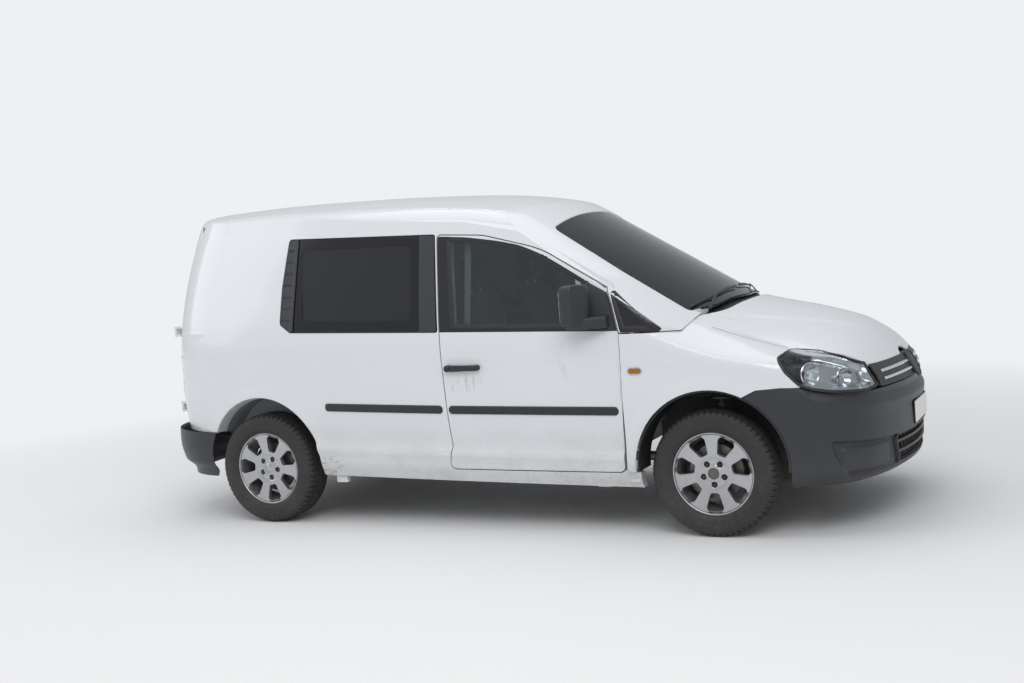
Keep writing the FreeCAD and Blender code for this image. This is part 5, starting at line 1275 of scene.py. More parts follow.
for label, sign in SIDES:
    panel(f"rear_door_skin_{label}", [rear_door_outline(sign), rear_glass_outline(sign)], rear_face, SHEET,
          DOOR_NET, white_paint, f"back_door_{label}")

# %% [markdown]
# A wing runs from the door to the headlamp. Its upper edge dips along the bonnet.

# %% Wings
wing_shut = []
SHUT_DROP, SHUT_REACH = 0.0045, 0.020


def wing_relief(uv):
    """The wing's upper edge dips a little along the bonnet's line, so that the line stays dark."""
    return -SHUT_DROP * smooth_step(SHUT_REACH, 0.0, edge_distance(uv, wing_shut[0]))


def wing_loop():
    """Outline of a front wing: door edge, pillar foot, bonnet line, headlamp, bumper and arch."""
    door_side = even_run([(0.895, 0.335), (0.895, 0.950), (0.8875, 1.028), (1.193, 1.028), (1.236, 1.090)])
    shut_x = np.linspace(1.236, 2.000, 50)
    bonnet = densified(rounded(BONNET_OUTLINE), FINE_RUN)
    edge = bonnet[(bonnet[:, 0] > 1.21) & (bonnet[:, 1] > 0.47)]
    edge = edge[edge[:, 0].argsort()]
    shut = np.stack([shut_x, np.interp(shut_x, edge[:, 0], edge[:, 1]) + BONNET_GAP], 1)
    top = seen_from_above(shut, nose_distance)
    wing_shut.append(wing_side.flat(top))
    lamp = densified(rounded(HEADLAMP_OUTLINE), FINE_RUN)
    start = np.argmin(np.hypot(*(lamp - (2.000, 0.838)).T))
    lamp = np.roll(lamp, -start, 0)
    tip = np.argmin(np.hypot(*(lamp - (1.779, 0.742)).T))
    run = lamp[tip:][::-1]
    seam = even_run([(1.779, 0.740), (1.689, 0.742), (1.570, 0.733), (1.499, 0.6985)])
    arch = circle_run(FRONT_ARCH, ARCH_CUT, 64.0, 184.0)
    end = even_run([(0.942, 0.3265), (0.900, 0.330)])
    return wing_side.flat(np.concatenate([
        seen_from_side(door_side, nose_distance), top,
        seen_from_side(np.concatenate([run, seam, arch, end]), nose_distance)]))


WING_SHEET = 0.005
twins("wing", [wing_loop()], wing_side, WING_SHEET + SHUT_DROP, WING_NET, white_paint, "chassis", "fender_{}",
      relief=wing_relief)

# %% [markdown]
# ## Front end
# The bonnet, the bumper, the grille and the lamps all take their shape from the same nose. The bumper has a
# shelf under the lamps and a sunk field that holds the lower intake.

# %% Bonnet
BONNET_SHEET = 0.014
LEAD_EDGE = ((-0.560, 0.822), (-0.520, 0.812), (-0.450, 0.8085), (-0.110, 0.8095), (-0.080, 0.826),
             (-0.045, 0.838), (0.0, 0.841), (0.045, 0.838), (0.080, 0.826), (0.110, 0.8095),
             (0.450, 0.8085), (0.520, 0.812), (0.560, 0.822))


def seen_from_front(outline, distance=nose_distance, start=1.55):
    """Points of the nose at (y, z)."""
    yz = np.asarray(outline, float)[:, :2]
    return cast(distance, np.stack([np.full(len(yz), start), yz[:, 0], yz[:, 1]], 1), AHEAD, NOSE_REACH)


bonnet_edge = densified(rounded(BONNET_OUTLINE), FINE_RUN)
lead_run = seen_from_front(even_run(LEAD_EDGE, FINE_RUN))[:, :2]
rear_run = bonnet_edge[bonnet_edge[:, 0] < 1.995]
turn = np.nonzero(np.hypot(*(rear_run - np.roll(rear_run, 1, 0)).T) > 0.05)[0][0]
rear_run = np.roll(rear_run, -turn, 0)
panel("bonnet_skin", [np.concatenate([rear_run, lead_run])], bonnet_top, BONNET_SHEET, DOOR_NET, white_paint,
      "bonnet_lid", ("bonnet",))

# %% [markdown]
# Each bumper is one band that wraps round its end of the van, drawn for one half and completed by symmetry.

# %% Bumpers
INTAKE = ((-0.420, 0.436, 0.020), (0.420, 0.436, 0.020), (0.372, 0.306, 0.030), (-0.372, 0.306, 0.030))
BUMPER_LOW = 0.247
BUMPER_SKIN = 0.004


def on_band(outline, band):
    """Band chart coordinates of a run seen from the side."""
    return band.flat(seen_from_side(outline, band.distance))


def whole(half):
    """Closed outline of a bumper from its left half, which starts and ends in the middle."""
    return np.concatenate([half, half[-2:0:-1] * (-1, 1)])


wing_run = on_band(even_run([(1.502, 0.697), (1.570, 0.7305), (1.689, 0.7395), (1.779, 0.7375),
                             (1.840, 0.7185), (1.905, 0.704)]), front_band)
lamp_foot = even_run([wing_run[-1], (0.700, 0.690), (0.560, 0.6885), (0.0, 0.6885)])[1:]
arch_up = on_band(circle_run(FRONT_ARCH, ARCH_CUT, -15.0, 62.5), front_band)
low_run = even_run([(0.0, BUMPER_LOW), (arch_up[0, 0], BUMPER_LOW)])[:-1]
front_loop = whole(np.concatenate([low_run, arch_up, wing_run, lamp_foot]))
CREASE = smooth_curve((0.0, 0.352, 0.718, 1.0, 1.076), (0.612, 0.618, 0.637, 0.679, 0.735))
FIELD_TOP = smooth_curve((0.0, 0.477, 0.914), (0.440, 0.446, 0.470))
FIELD_SIDE = smooth_curve((0.29, 0.336, 0.388, 0.470), (0.800, 0.850, 0.887, 0.914))
CREASE_END, FIELD_END, FIELD_LOW, FIELD_HIGH = 1.076, 0.914, 0.29, 0.47
FIELD_DEPTH, FIELD_PANEL, PLATE_SEAT = 0.020, 0.014, 0.012
SHELF_RISE, SHELF_SLOPE, SHELF_FALL, SHELF_START = 0.007, 0.55, 0.024, -0.060


def bumper_relief(uv):
    """A shelf that slopes back above a crease, and a sunk field with a raised blank panel below it."""
    s, z = np.abs(uv[:, 0]), uv[:, 1]
    above = z - along(CREASE, np.clip(s, 0.0, CREASE_END))
    shelf = np.where(above > 0, SHELF_RISE - np.minimum(SHELF_SLOPE * above, SHELF_FALL),
                     SHELF_RISE * smooth_step(SHELF_START, 0.0, above))
    shelf = shelf * smooth_step(1.110, 1.040, s)
    top = along(FIELD_TOP, np.clip(s, 0.0, FIELD_END))
    edge = along(FIELD_SIDE, np.clip(z, FIELD_LOW, FIELD_HIGH))
    field = (smooth_step(top + 0.004, top - 0.008, z) * smooth_step(edge + 0.004, edge - 0.010, s)
             * smooth_step(0.282, 0.302, z))
    panel_up = (smooth_step(0.490, 0.505, s) * smooth_step(0.862, 0.840, s) * smooth_step(0.306, 0.318, z)
                * smooth_step(0.436, 0.420, z))
    seat = smooth_step(0.196, 0.186, s) * smooth_step(0.450, 0.460, z) * smooth_step(0.580, 0.570, z)
    return shelf * (1 - seat) - FIELD_DEPTH * field + FIELD_PANEL * panel_up * field - PLATE_SEAT * seat


panel("front_bumper_skin", [front_loop, densified(rounded(INTAKE), FINE_RUN)], front_band,
      BUMPER_SKIN + FIELD_DEPTH, BUMPER_NET, bumper_plastic, "chassis", ("front_bumper",),
      relief=bumper_relief)

TAIL_LOW, TAIL_HIGH = 0.262, 0.546
tail_top = on_band(even_run([(-1.668, 0.5275), (-1.80, 0.533), (-1.95, 0.540)]), rear_band)
tail_arch = on_band(circle_run(REAR_ARCH, ARCH_CUT, 188.0, 152.5), rear_band)
rear_loop = whole(np.concatenate([
    even_run([(0.0, TAIL_LOW), (tail_arch[0, 0], TAIL_LOW)])[:-1], tail_arch, tail_top,
    even_run([tail_top[-1], (0.600, TAIL_HIGH), (0.0, TAIL_HIGH)])[1:]]))
panel("rear_bumper_skin", [rear_loop], rear_band, BUMPER_SKIN, DOOR_NET, bumper_plastic, "chassis",
      ("rear_bumper",))

# %% [markdown]
# A headlamp's lens continues the wing's surface and stands a millimetre clear of it all round.

# %% Lenses of the headlamps
LENS_GAP, LENS_WALL, LENS_NET = 0.001, 0.003, 0.010
lens_loop = wing_side.flat(seen_from_side(grown(HEADLAMP_OUTLINE, -LENS_GAP), nose_distance))
twins("headlamp_lens", [lens_loop], wing_side, LENS_WALL, LENS_NET, lens_glass, "chassis", "headlamps")

# %% [markdown]
# ## Nets, turned forms and rails
# What isn't a panel is a net of points: a profile carried round an axis for a tyre or a lamp bowl, or a small
# section carried along a run for a seal, a slat or a strip. Several nets can share one piece.

# %% Nets


def full_turn(count):
    """Even angles round a circle."""
    return np.arange(count) / count * 2 * math.pi


def ring(radius, count):
    """Closed circle of points about the origin."""
    angle = full_turn(count)
    return radius * np.stack([np.cos(angle), np.sin(angle)], 1)


def net(points, round_rows=False, round_columns=False, capped=False):
    """Points and quads of a grid, closed round in either direction, with its first and last rows filled."""
    rows, columns = points.shape[:2]
    i, j = np.meshgrid(np.arange(rows - (not round_rows)), np.arange(columns - (not round_columns)),
                       indexing="ij")
    below, beside = (i + 1) % rows, (j + 1) % columns
    quads = np.stack([i * columns + j, i * columns + beside, below * columns + beside,
                      below * columns + j], -1)
    faces = [tuple(q) for q in quads.reshape(-1, 4).tolist()]
    if capped:
        faces += [tuple(range(columns)), tuple(range((rows - 1) * columns, rows * columns))]
    return points.reshape(-1, 3), faces


def tube(points):
    """Net of a grid closed round its columns, with its first and last rows filled."""
    return net(points, round_columns=True, capped=True)


def net_piece(name, nets, material, body, replaces=(), sharp=40.0):
    """One piece from several nets, with normals outwards and edges sharp past an angle."""
    points, faces, start = [], [], 0
    for net_points, net_faces in nets:
        points.append(net_points)
        faces += [tuple(i + start for i in face) for face in net_faces]
        start += len(net_points)
    piece = new_piece(name, np.concatenate(points), faces, material, body)
    tidy_normals(piece)
    piece.data.set_sharp_from_angle(angle=math.radians(sharp))
    if replaces:
        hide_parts(*replaces)
    return piece


def turned(profile, centre, axis=(0.0, 1.0, 0.0), count=96):
    """Net of a closed profile (radius, height) carried round an axis through a centre."""
    axis = np.array(axis, float) / np.linalg.norm(axis)
    aside = np.cross(axis, (0.0, 0.0, 1.0) if abs(axis[2]) < 0.9 else (1.0, 0.0, 0.0))
    aside /= np.linalg.norm(aside)
    up = np.cross(aside, axis)
    angle = full_turn(count)
    profile = np.asarray(profile, float)
    spoke = np.cos(angle)[:, None] * up + np.sin(angle)[:, None] * aside
    points = (np.array(centre, float) + profile[None, :, :1] * spoke[:, None, :]
              + profile[None, :, 1:] * axis)
    return net(points, round_rows=True, round_columns=True)


def rail(chart, run, section):
    """Net of a section (across, height) carried along an open run on a chart."""
    run = np.asarray(run, float)
    ahead = np.gradient(run, axis=0)
    ahead /= np.hypot(*ahead.T)[:, None]
    aside = np.stack([-ahead[:, 1], ahead[:, 0]], 1)
    lines = [chart.surface(run + aside * across, np.full(len(run), -height)) for across, height in section]
    return tube(np.stack(lines, 1))


def bead(chart, loop, section):
    """Net of a section (outwards, height) carried round a closed outline on a chart."""
    lines = [chart.surface(inset(loop, -out, True), np.full(len(loop), -height)) for out, height in section]
    return net(np.stack(lines, 1), round_rows=True, round_columns=True)


def flip_sides(nets):
    """The same nets on the other side of the van."""
    return [(points * (1.0, -1.0, 1.0), faces) for points, faces in nets]


def both_sides(name, nets, material, body, replaces=None, **shape):
    """A piece on the left and its twin on the right; {} in body and replaces takes the side's name."""
    for label, side_nets in (("left", nets), ("right", flip_sides(nets))):
        stands_for = (replaces.format(label),) if replaces else ()
        net_piece(f"{name}_{label}", side_nets, material, body.format(label), stands_for, **shape)


def on_side(outline, chart=body_side, step=0.008):
    """Outline drawn in side view, on the chart of the side or of the wing."""
    return chart.flat(seen_from_side(densified(rounded(outline), step), chart.distance))


# %% [markdown]
# ## Glass edges and black trim
# Every pane sits three millimetres below the panel round it. A rubber bead closes that step, and panes that
# are glued in have a black printed border that hides the glue.

# %% Beads and borders
GLASS_DEPTH = 0.0042
BEAD_SECTION = ((0.0045, 0.0002), (0.0040, 0.0016), (0.0010, 0.0024), (-0.0045, 0.0008), (-0.0140, -0.0024),
                (-0.0175, -0.0040), (-0.0100, -0.0046), (0.0005, -0.0030))
THIN_SECTION = ((0.0022, 0.0002), (0.0014, 0.0010), (-0.0010, 0.0006), (-0.0035, -0.0022), (-0.0045, -0.0040),
                (-0.0025, -0.0046), (0.0004, -0.0030))


BORDER_BACK, BORDER_FACE, BORDER_EDGE = 0.0003, 0.0007, 0.003
BORDER_SHAPE = {"relief": raised(BORDER_FACE - GLASS_DEPTH), "bevel": 0.12}
border_black = finish("screen border", (0.010, 0.010, 0.011), (0.008, 0.008, 0.009), 0.12, 0.2)

door_pane = on_side(DOOR_GLASS_OUTLINE)
both_sides("door_glass_bead", [bead(body_side, door_pane, BEAD_SECTION)], seal_rubber, "front_door_{}")
quarter_pane = on_side(QUARTER_GLASS_OUTLINE)
both_sides("quarter_glass_bead", [bead(body_side, quarter_pane, BEAD_SECTION)], seal_rubber, "chassis")
side_pane = on_side(SIDE_GLASS_OUTLINE)
both_sides("side_glass_bead", [bead(body_side, side_pane, THIN_SECTION)], seal_rubber, "chassis")

SEE_THROUGH = ((-1.020, 1.165, 0.04), (-1.050, 1.560, 0.04), (-0.330, 1.545, 0.04), (-0.312, 1.140, 0.04))
twins("side_glass_border", [inset(side_pane, BORDER_EDGE, True), on_side(SEE_THROUGH)], body_side,
      GLASS_DEPTH + BORDER_BACK, TRIM_NET, border_black, **BORDER_SHAPE)

SCREEN_BORDER = 0.030
screen_pane = screen_face.flat(seen_from_above(densified(rounded(SCREEN_OUTLINE), COARSE_RUN), floor=0.60))
panel("screen_border", [inset(screen_pane, BORDER_EDGE, True), inset(screen_pane, SCREEN_BORDER, True)],
      screen_face, GLASS_DEPTH + BORDER_BACK, TRIM_NET, border_black, "chassis", **BORDER_SHAPE)
net_piece("screen_bead", [bead(screen_face, screen_pane, THIN_SECTION)], seal_rubber, "chassis")

for label, sign in SIDES:
    rear_pane = densified(rear_glass_outline(sign), FINE_RUN)
    net_piece(f"rear_glass_bead_{label}", [bead(rear_face, rear_pane, BEAD_SECTION)], seal_rubber,
              f"back_door_{label}")

# %% [markdown]
# Black trim frames the quarter pane, and a louvre and a strip frame the side window. They stand on the skin
# by a height of their own; the louvre's height falls and rises from slat to slat.

# %% Black trim in front of the door and behind the side window
FRONT_TRIM = ((0.832, 1.262, 0.01), (0.952, 1.162, 0.9), (1.058, 1.084, 0.3), (1.112, 1.043, 0.012),
              (1.088, 1.031, 0.012), (0.8945, 1.0355, 0.004), (0.856, 1.174, 0.08))
TRIM_HEIGHT = 0.0018
twins("front_trim", [on_side(FRONT_TRIM), quarter_pane], body_side, 0.0, TRIM_NET, frame_black,
      relief=raised(TRIM_HEIGHT), bevel=0.4)

LOUVRE = ((-1.107, 1.106, 0.026), (-1.170, 1.153, 0.018), (-1.166, 1.350, 0.200), (-1.134, 1.625, 0.018),
          (-1.070, 1.623, 0.004), (-1.083, 1.106, 0.004))
LOUVRE_TOP, LOUVRE_PITCH, LOUVRE_COUNT = 1.566, 0.0652, 7
LOUVRE_HEIGHT, LOUVRE_GAP_DEPTH, LOUVRE_GAP, LOUVRE_SLOPE = 0.0040, 0.0064, 0.009, 0.0016
LOUVRE_FRAME, LOUVRE_NET = 0.019, 0.0048
STRIP_HEIGHT = 0.0030


def louvre_relief(uv):
    """Seven sloping slats: each rises sharply below its dark gap and falls slowly to the next one."""
    x, z = uv[:, 0], uv[:, 1]
    count = (LOUVRE_TOP - z) / LOUVRE_PITCH
    drop = (count - np.floor(count)) * LOUVRE_PITCH
    slatted = (count > 0) & (count < LOUVRE_COUNT)
    gap = smooth_step(LOUVRE_GAP + 0.003, LOUVRE_GAP, drop) * smooth_step(0.0, 0.002, drop)
    slope = LOUVRE_SLOPE * smooth_step(LOUVRE_GAP, LOUVRE_PITCH, drop)
    bar = np.interp(z, (1.106, 1.625), (-1.083, -1.070)) - LOUVRE_FRAME
    rear = np.interp(z, (1.106, 1.153, 1.350, 1.625), (-1.150, -1.170, -1.166, -1.134)) + 0.008
    across = smooth_step(bar, bar - 0.003, x) * smooth_step(rear - 0.002, rear + 0.002, x)
    return LOUVRE_HEIGHT - slatted * across * (gap * LOUVRE_GAP_DEPTH + slope)


twins("louvre", [on_side(LOUVRE)], body_side, SHEET, LOUVRE_NET, bumper_plastic, "chassis", "side_trim",
      relief=louvre_relief, bevel=0.7)

PILLAR_STRIP = ((-0.250, 1.079, 0.004), (-0.272, 1.594, 0.004), (-0.182, 1.591, 0.010),
                (-0.146, 1.078, 0.010))
twins("pillar_strip", [on_side(PILLAR_STRIP)], body_side, SHEET, TRIM_NET, bumper_plastic,
      relief=raised(STRIP_HEIGHT), bevel=0.8)

# %% [markdown]
# A rub strip is a grid: along its length, then round its section. Its ends taper by a quarter circle.

# %% Rub strips
# columns: rear end (x, z), front end (x, z), body
RUB_STRIPS = (("rear", (-0.888, 0.679), (-0.133, 0.660), "chassis"),
              ("front", (-0.096, 0.659), (0.866, 0.640), "front_door_{}"))
RUB_HALF, RUB_PROUD, RUB_ENDS = 0.0225, 0.0085, 0.020


def rub_strip(rear, front):
    """Strip with a flat face, round edges and ends that sink into the side."""
    t = np.linspace(0.0, 1.0, 90)[:, None]
    a = np.linspace(-1.0, 1.0, 17)[None, :]
    length = front[0] - rear[0]
    x = rear[0] + length * t + 0 * a
    middle = rear[1] + (front[1] - rear[1]) * t
    end = np.minimum(t, 1 - t) * length / RUB_ENDS
    taper = np.sqrt(np.clip(1 - (1 - np.clip(end, 0, 1)) ** 2, 0, 1))
    z = middle + RUB_HALF * a * (0.35 + 0.65 * taper)
    height = RUB_PROUD * (1 - np.abs(a) ** 5) ** 0.5 * (0.12 + 0.88 * taper) + 0.0002
    flat = np.stack([x.ravel(), z.ravel()], 1)
    top = seen_from_side(flat, lambda px, py, pz: body_distance(px, py, pz) - height.ravel())
    low = seen_from_side(flat, lambda px, py, pz: body_distance(px, py, pz) + 0.0006)
    grid = np.concatenate([top.reshape(*x.shape, 3), low.reshape(*x.shape, 3)[:, ::-1]], 1)
    return tube(grid)


for label, rear, front, body in RUB_STRIPS:
    both_sides(f"rub_strip_{label}", [rub_strip(rear, front)], black_plastic, body, sharp=60.0)

# %% [markdown]
# A handle is a bowed bar between a lock and a foot, over a shallow dish. The repeater is a rim, an amber core
# and a clear dome.

# %% Handles and repeaters
HANDLE_RUN = (-0.094, 0.106)
HANDLE_MIDDLE_Z, HANDLE_REACH, HANDLE_HALF, HANDLE_DEPTH, HANDLE_SINK = 0.8815, 0.030, 0.0175, 0.0075, 0.004
HANDLE_ROWS, HANDLE_COLUMNS = 48, 24


def handle_bar():
    """Pull handle: an oval bar that bows away from the door and turns into it at both ends."""
    t = np.linspace(0.0, 1.0, HANDLE_ROWS)
    x = HANDLE_RUN[0] + (HANDLE_RUN[1] - HANDLE_RUN[0]) * t
    bow = HANDLE_REACH * (1 - np.abs(2 * t - 1) ** 5)
    skin = seen_from_side(np.stack([x, np.full_like(x, HANDLE_MIDDLE_Z)], 1))[:, 1]
    ends = np.sqrt(np.clip(1 - np.abs(2 * t - 1) ** 12, 0.1, 1))
    half_z = HANDLE_HALF * (1 - 0.10 * smooth_step(0.2, 0.7, t)) * ends
    angle = full_turn(HANDLE_COLUMNS)
    points = np.stack([np.broadcast_to(x[:, None], (HANDLE_ROWS, HANDLE_COLUMNS)),
                       (skin + bow - HANDLE_SINK)[:, None] + HANDLE_DEPTH * np.cos(angle),
                       HANDLE_MIDDLE_Z + half_z[:, None] * np.sin(angle)], -1)
    return tube(points)


lock_place = seen_from_side([(-0.078, HANDLE_MIDDLE_Z)])[0]
LOCK_PROFILE = ((0.0, 0.036), (0.006, 0.036), (0.0065, 0.034), (0.013, 0.0345), (0.0175, 0.031),
                (0.0185, 0.010), (0.018, -0.001), (0.0, -0.001))
foot_place = seen_from_side([(0.092, HANDLE_MIDDLE_Z)])[0]
FOOT_PROFILE = ((0.0, 0.031), (0.010, 0.030), (0.0155, 0.026), (0.0165, 0.008), (0.016, -0.001),
                (0.0, -0.001))
both_sides("handle", [handle_bar(), turned(LOCK_PROFILE, lock_place, count=40),
                      turned(FOOT_PROFILE, foot_place, count=40)],
           black_plastic, "front_door_{}", "door_trim_{}")

DISH_CENTRE, DISH_RADIUS = (0.011, 0.898), 0.046
DISH_SECTION = ((0.0016, 0.0), (0.0008, 0.0010), (-0.0010, 0.0012), (-0.0030, 0.0000), (0.0, -0.0006))
dish_loop = body_side.flat(seen_from_side(circle_run(DISH_CENTRE, DISH_RADIUS, 0.0, 354.0)))
both_sides("handle_dish", [bead(body_side, dish_loop, DISH_SECTION)], white_paint, "front_door_{}")

REPEATER = ((0.928, 0.823, 0.019), (1.007, 0.823, 0.019), (1.007, 0.861, 0.019), (0.928, 0.861, 0.019))
REPEATER_SEAT = ((0.9315, 0.8265, 0.0155), (1.0035, 0.8265, 0.0155), (1.0035, 0.8575, 0.0155),
                 (0.9315, 0.8575, 0.0155))
repeater_loop = on_side(REPEATER, chart=wing_side, step=0.004)
repeater_seat = on_side(REPEATER_SEAT, chart=wing_side, step=0.004)
for name, loops, material, low, high in (
        ("repeater_rim", [repeater_loop, inset(repeater_loop, 0.0045, True)], bright_metal, 0.0, 0.0035),
        ("repeater_core", [inset(repeater_seat, 0.004, True)], amber_plastic, -0.0002, 0.0012)):
    twins(name, loops, wing_side, low, 0.006, material, relief=raised(high), bevel=0.5)
RIM_HEIGHT, DOME_REACH = 0.0035, 0.015
twins("repeater_lens", [repeater_seat], wing_side, -0.0016, 0.005, lens_glass, bevel=0.4,
      relief=lambda uv: RIM_HEIGHT + RIM_HEIGHT * smooth_step(0.0, DOME_REACH,
                                                              edge_distance(uv, repeater_seat)))

# %% [markdown]
# ## Mirrors
# The mirror's head is a box with generous radii, deeper at the door than at its outer edge; its foot runs
# forwards into a black corner plate in the door's window.

# %% Mirrors
MIRROR_LOW, MIRROR_HIGH = (0.640, 0.893, 1.084), (0.762, 1.031, 1.291)
MIRROR_PANE = ((0.6384, 0.909, 1.104), (0.6450, 1.014, 1.272))
MIRROR_SWEEP, MIRROR_LIFT = 0.052, 0.010
FOOT_ROWS, FOOT_COLUMNS, FOOT_Z = 26, 28, 1.094


def soft_box(low, high, power=5.0, rows=36, columns=72):
    """Closed net of a box with soft edges: a sphere whose axes are raised to a power and scaled."""
    down = np.linspace(0.0, math.pi, rows + 2)[1:-1]
    angle = full_turn(columns)
    unit = np.stack([np.sin(down)[:, None] * np.cos(angle), np.sin(down)[:, None] * np.sin(angle),
                     np.cos(down)[:, None] + 0 * angle], -1)
    size = np.sum(np.abs(unit) ** power, -1, keepdims=True) ** (-1 / power)
    low, high = np.array(low), np.array(high)
    return (low + high) / 2 + unit * size * (high - low) / 2, unit * size


head, head_unit = soft_box(MIRROR_LOW, MIRROR_HIGH, 7.0)
lean = (head[..., 1] - MIRROR_LOW[1]) / (MIRROR_HIGH[1] - MIRROR_LOW[1])
head[..., 0] -= MIRROR_SWEEP * smooth_step(0.15, 1.15, lean) * np.clip(head_unit[..., 0], 0.0, 1.0)
head[..., 2] += MIRROR_LIFT * (1 - lean) * np.clip(-head_unit[..., 2], 0.0, 1.0)
FOOT_PATH = smooth_curve((0.655, 0.70, 0.76, 0.838), (0.985, 0.972, 0.930, 0.868))
foot_x = np.linspace(0.660, 0.838, FOOT_ROWS)
foot_y = along(FOOT_PATH, foot_x)
angle = full_turn(FOOT_COLUMNS)
foot_half = np.stack([np.full_like(foot_x, 0.026),
                      np.interp(foot_x, (0.66, 0.74, 0.838), (0.020, 0.030, 0.029))], 1)
foot = np.stack([np.broadcast_to(foot_x[:, None], (FOOT_ROWS, FOOT_COLUMNS)),
                 foot_y[:, None] + foot_half[:, :1] * np.sign(np.cos(angle)) * np.abs(np.cos(angle)) ** 0.6,
                 FOOT_Z + foot_half[:, 1:] * np.sign(np.sin(angle)) * np.abs(np.sin(angle)) ** 0.5], -1)
both_sides("mirror_head", [tube(head), tube(foot)], bumper_plastic, "front_door_{}", sharp=60.0)
pane = soft_box(*MIRROR_PANE, 8.0, 12, 48)[0]
both_sides("mirror_pane", [tube(pane)], mirror_glass, "front_door_{}")

CORNER_PLATE = ((0.706, 1.301, 0.006), (0.648, 1.068, 0.006), (0.866, 1.046, 0.006), (0.836, 1.168, 0.06),
                (0.806, 1.247, 0.006))
twins("mirror_plate", [on_side(CORNER_PLATE)], body_side, 0.0, TRIM_NET, bumper_plastic, "front_door_{}",
      relief=raised(0.0038), bevel=0.8)

# %% [markdown]
# ## Wheels and tyres
# A seven-spoke alloy wheel is one casting: a barrel turned on a lathe and a face with seven windows. The tyre
# is a profile with three grooves, and its shoulders are cut into blocks by a pattern that repeats round it.

# %% Wheels
FRONT_AXLE, REAR_AXLE, AXLE_HEIGHT = 1.325, -1.357, 0.317
RIM_FACE = 0.841
SPOKES, BOLTS, BOLT_CIRCLE, BOLT_HOLE, HUB_BORE = 7, 5, 0.056, 0.0145, 0.0285
FACE_RADIUS, FACE_THICKNESS, FACE_NET = 0.1985, 0.026, 0.0075
TYRE_MIDDLE = 0.7625
PITCHES = 60
PITCH_STEPS = np.array((0.0, 0.08, 0.12, 0.27, 0.31, 0.65))
PITCH_CUT = np.array((0.0, 0.0, 1.0, 1.0, 0.0, 0.0))
# columns: radius, distance from the tyre's middle, share of the cross cuts
TYRE_SIDE = np.array((
    (0.3170, 0.0, 0), (0.3170, 0.0150, 0), (0.3168, 0.0175, 0), (0.3095, 0.0185, 0), (0.3095, 0.0250, 0),
    (0.3168, 0.0260, 0), (0.3170, 0.0300, 0.25), (0.3167, 0.0460, 0.25), (0.3166, 0.0475, 0),
    (0.3090, 0.0485, 0), (0.3090, 0.0545, 0), (0.3162, 0.0555, 0.6), (0.3158, 0.0600, 1),
    (0.3140, 0.0700, 1), (0.3105, 0.0780, 1),
    (0.3060, 0.0840, 1), (0.3000, 0.0885, 0.5), (0.2960, 0.0905, 0), (0.2900, 0.0930, 0), (0.2780, 0.0960, 0),
    (0.2620, 0.0975, 0), (0.2460, 0.0970, 0), (0.2340, 0.0952, 0), (0.2300, 0.0954, 0), (0.2285, 0.0938, 0),
    (0.2190, 0.0905, 0), (0.2130, 0.0868, 0), (0.2095, 0.0820, 0), (0.2060, 0.0780, 0), (0.2010, 0.0740, 0),
    (0.1990, 0.0600, 0)))
CUT_DEPTH = 0.0065


def tyre_net(axle):
    """Profile carried round the axle, its shoulders pushed in by the cross cuts."""
    half = np.concatenate([TYRE_SIDE[::-1] * (1, -1, 1), TYRE_SIDE[1:]])
    turn = (np.arange(PITCHES)[:, None] + PITCH_STEPS).ravel() / PITCHES * 2 * math.pi
    cut = np.tile(PITCH_CUT, PITCHES)
    sway = np.where(half[:, 1] > 0, 0.5, 0.0) * 2 * math.pi / PITCHES
    radius = half[None, :, 0] - CUT_DEPTH * cut[:, None] * half[None, :, 2]
    angle = turn[:, None] + sway[None, :]
    points = np.stack([axle + radius * np.sin(angle), np.broadcast_to(TYRE_MIDDLE + half[:, 1], radius.shape),
                       AXLE_HEIGHT - radius * np.cos(angle)], -1)
    return net(points, round_rows=True, round_columns=True)


class WheelFace:
    """Face of the wheel: dished towards the hub, with a raised ring round its bore."""

    def __init__(self, axle):
        """The face stands upright at the axle's station along the van."""
        self.axle = axle

    def surface(self, uv, depth=0.0):
        """Points of the face a depth behind it."""
        r = np.hypot(uv[:, 0], uv[:, 1])
        dish = (0.0035 + 0.0055 * smooth_step(0.185, 0.100, r) + 0.0060 * smooth_step(0.090, 0.066, r)
                - 0.0045 * smooth_step(0.047, 0.041, r))
        return np.stack([self.axle + uv[:, 0], RIM_FACE - dish - depth, AXLE_HEIGHT + uv[:, 1]], 1)


WINDOW = ((-0.021, -0.098, 0.014), (0.021, -0.098, 0.014), (0.0505, -0.1885, 0.020),
          (-0.0505, -0.1885, 0.020))
RIM_PROFILE = ((0.2080, -0.0020), (0.2072, -0.0005), (0.2050, 0.0), (0.2025, -0.0008), (0.2008, -0.0030),
               (0.1990, -0.0075), (0.1900, -0.0120), (0.1855, -0.0300), (0.1800, -0.0600), (0.1740, -0.0800),
               (0.1740, -0.1260), (0.1860, -0.1420), (0.1980, -0.1520), (0.2050, -0.1580), (0.2080, -0.1580),
               (0.2075, -0.1520), (0.1935, -0.1440), (0.1925, -0.1250), (0.1790, -0.1150), (0.1785, -0.0640),
               (0.1925, -0.0360), (0.1930, -0.0120), (0.2060, -0.0080))
CAP_PROFILE = ((0.0, -0.0060), (0.0120, -0.0065), (0.0220, -0.0085), (0.0290, -0.0125), (0.0300, -0.0200),
               (0.0, -0.0200))
BOLT_PROFILE = ((0.0, -0.0185), (0.0050, -0.0185), (0.0055, -0.0200), (0.0085, -0.0185), (0.0098, -0.0210),
                (0.0100, -0.0400), (0.0, -0.0400))
DISC_PROFILE = ((0.062, -0.060), (0.066, -0.056), (0.082, -0.058), (0.085, -0.068), (0.139, -0.068),
                (0.140, -0.070), (0.140, -0.076), (0.132, -0.077), (0.132, -0.081), (0.140, -0.082),
                (0.140, -0.088), (0.062, -0.088))
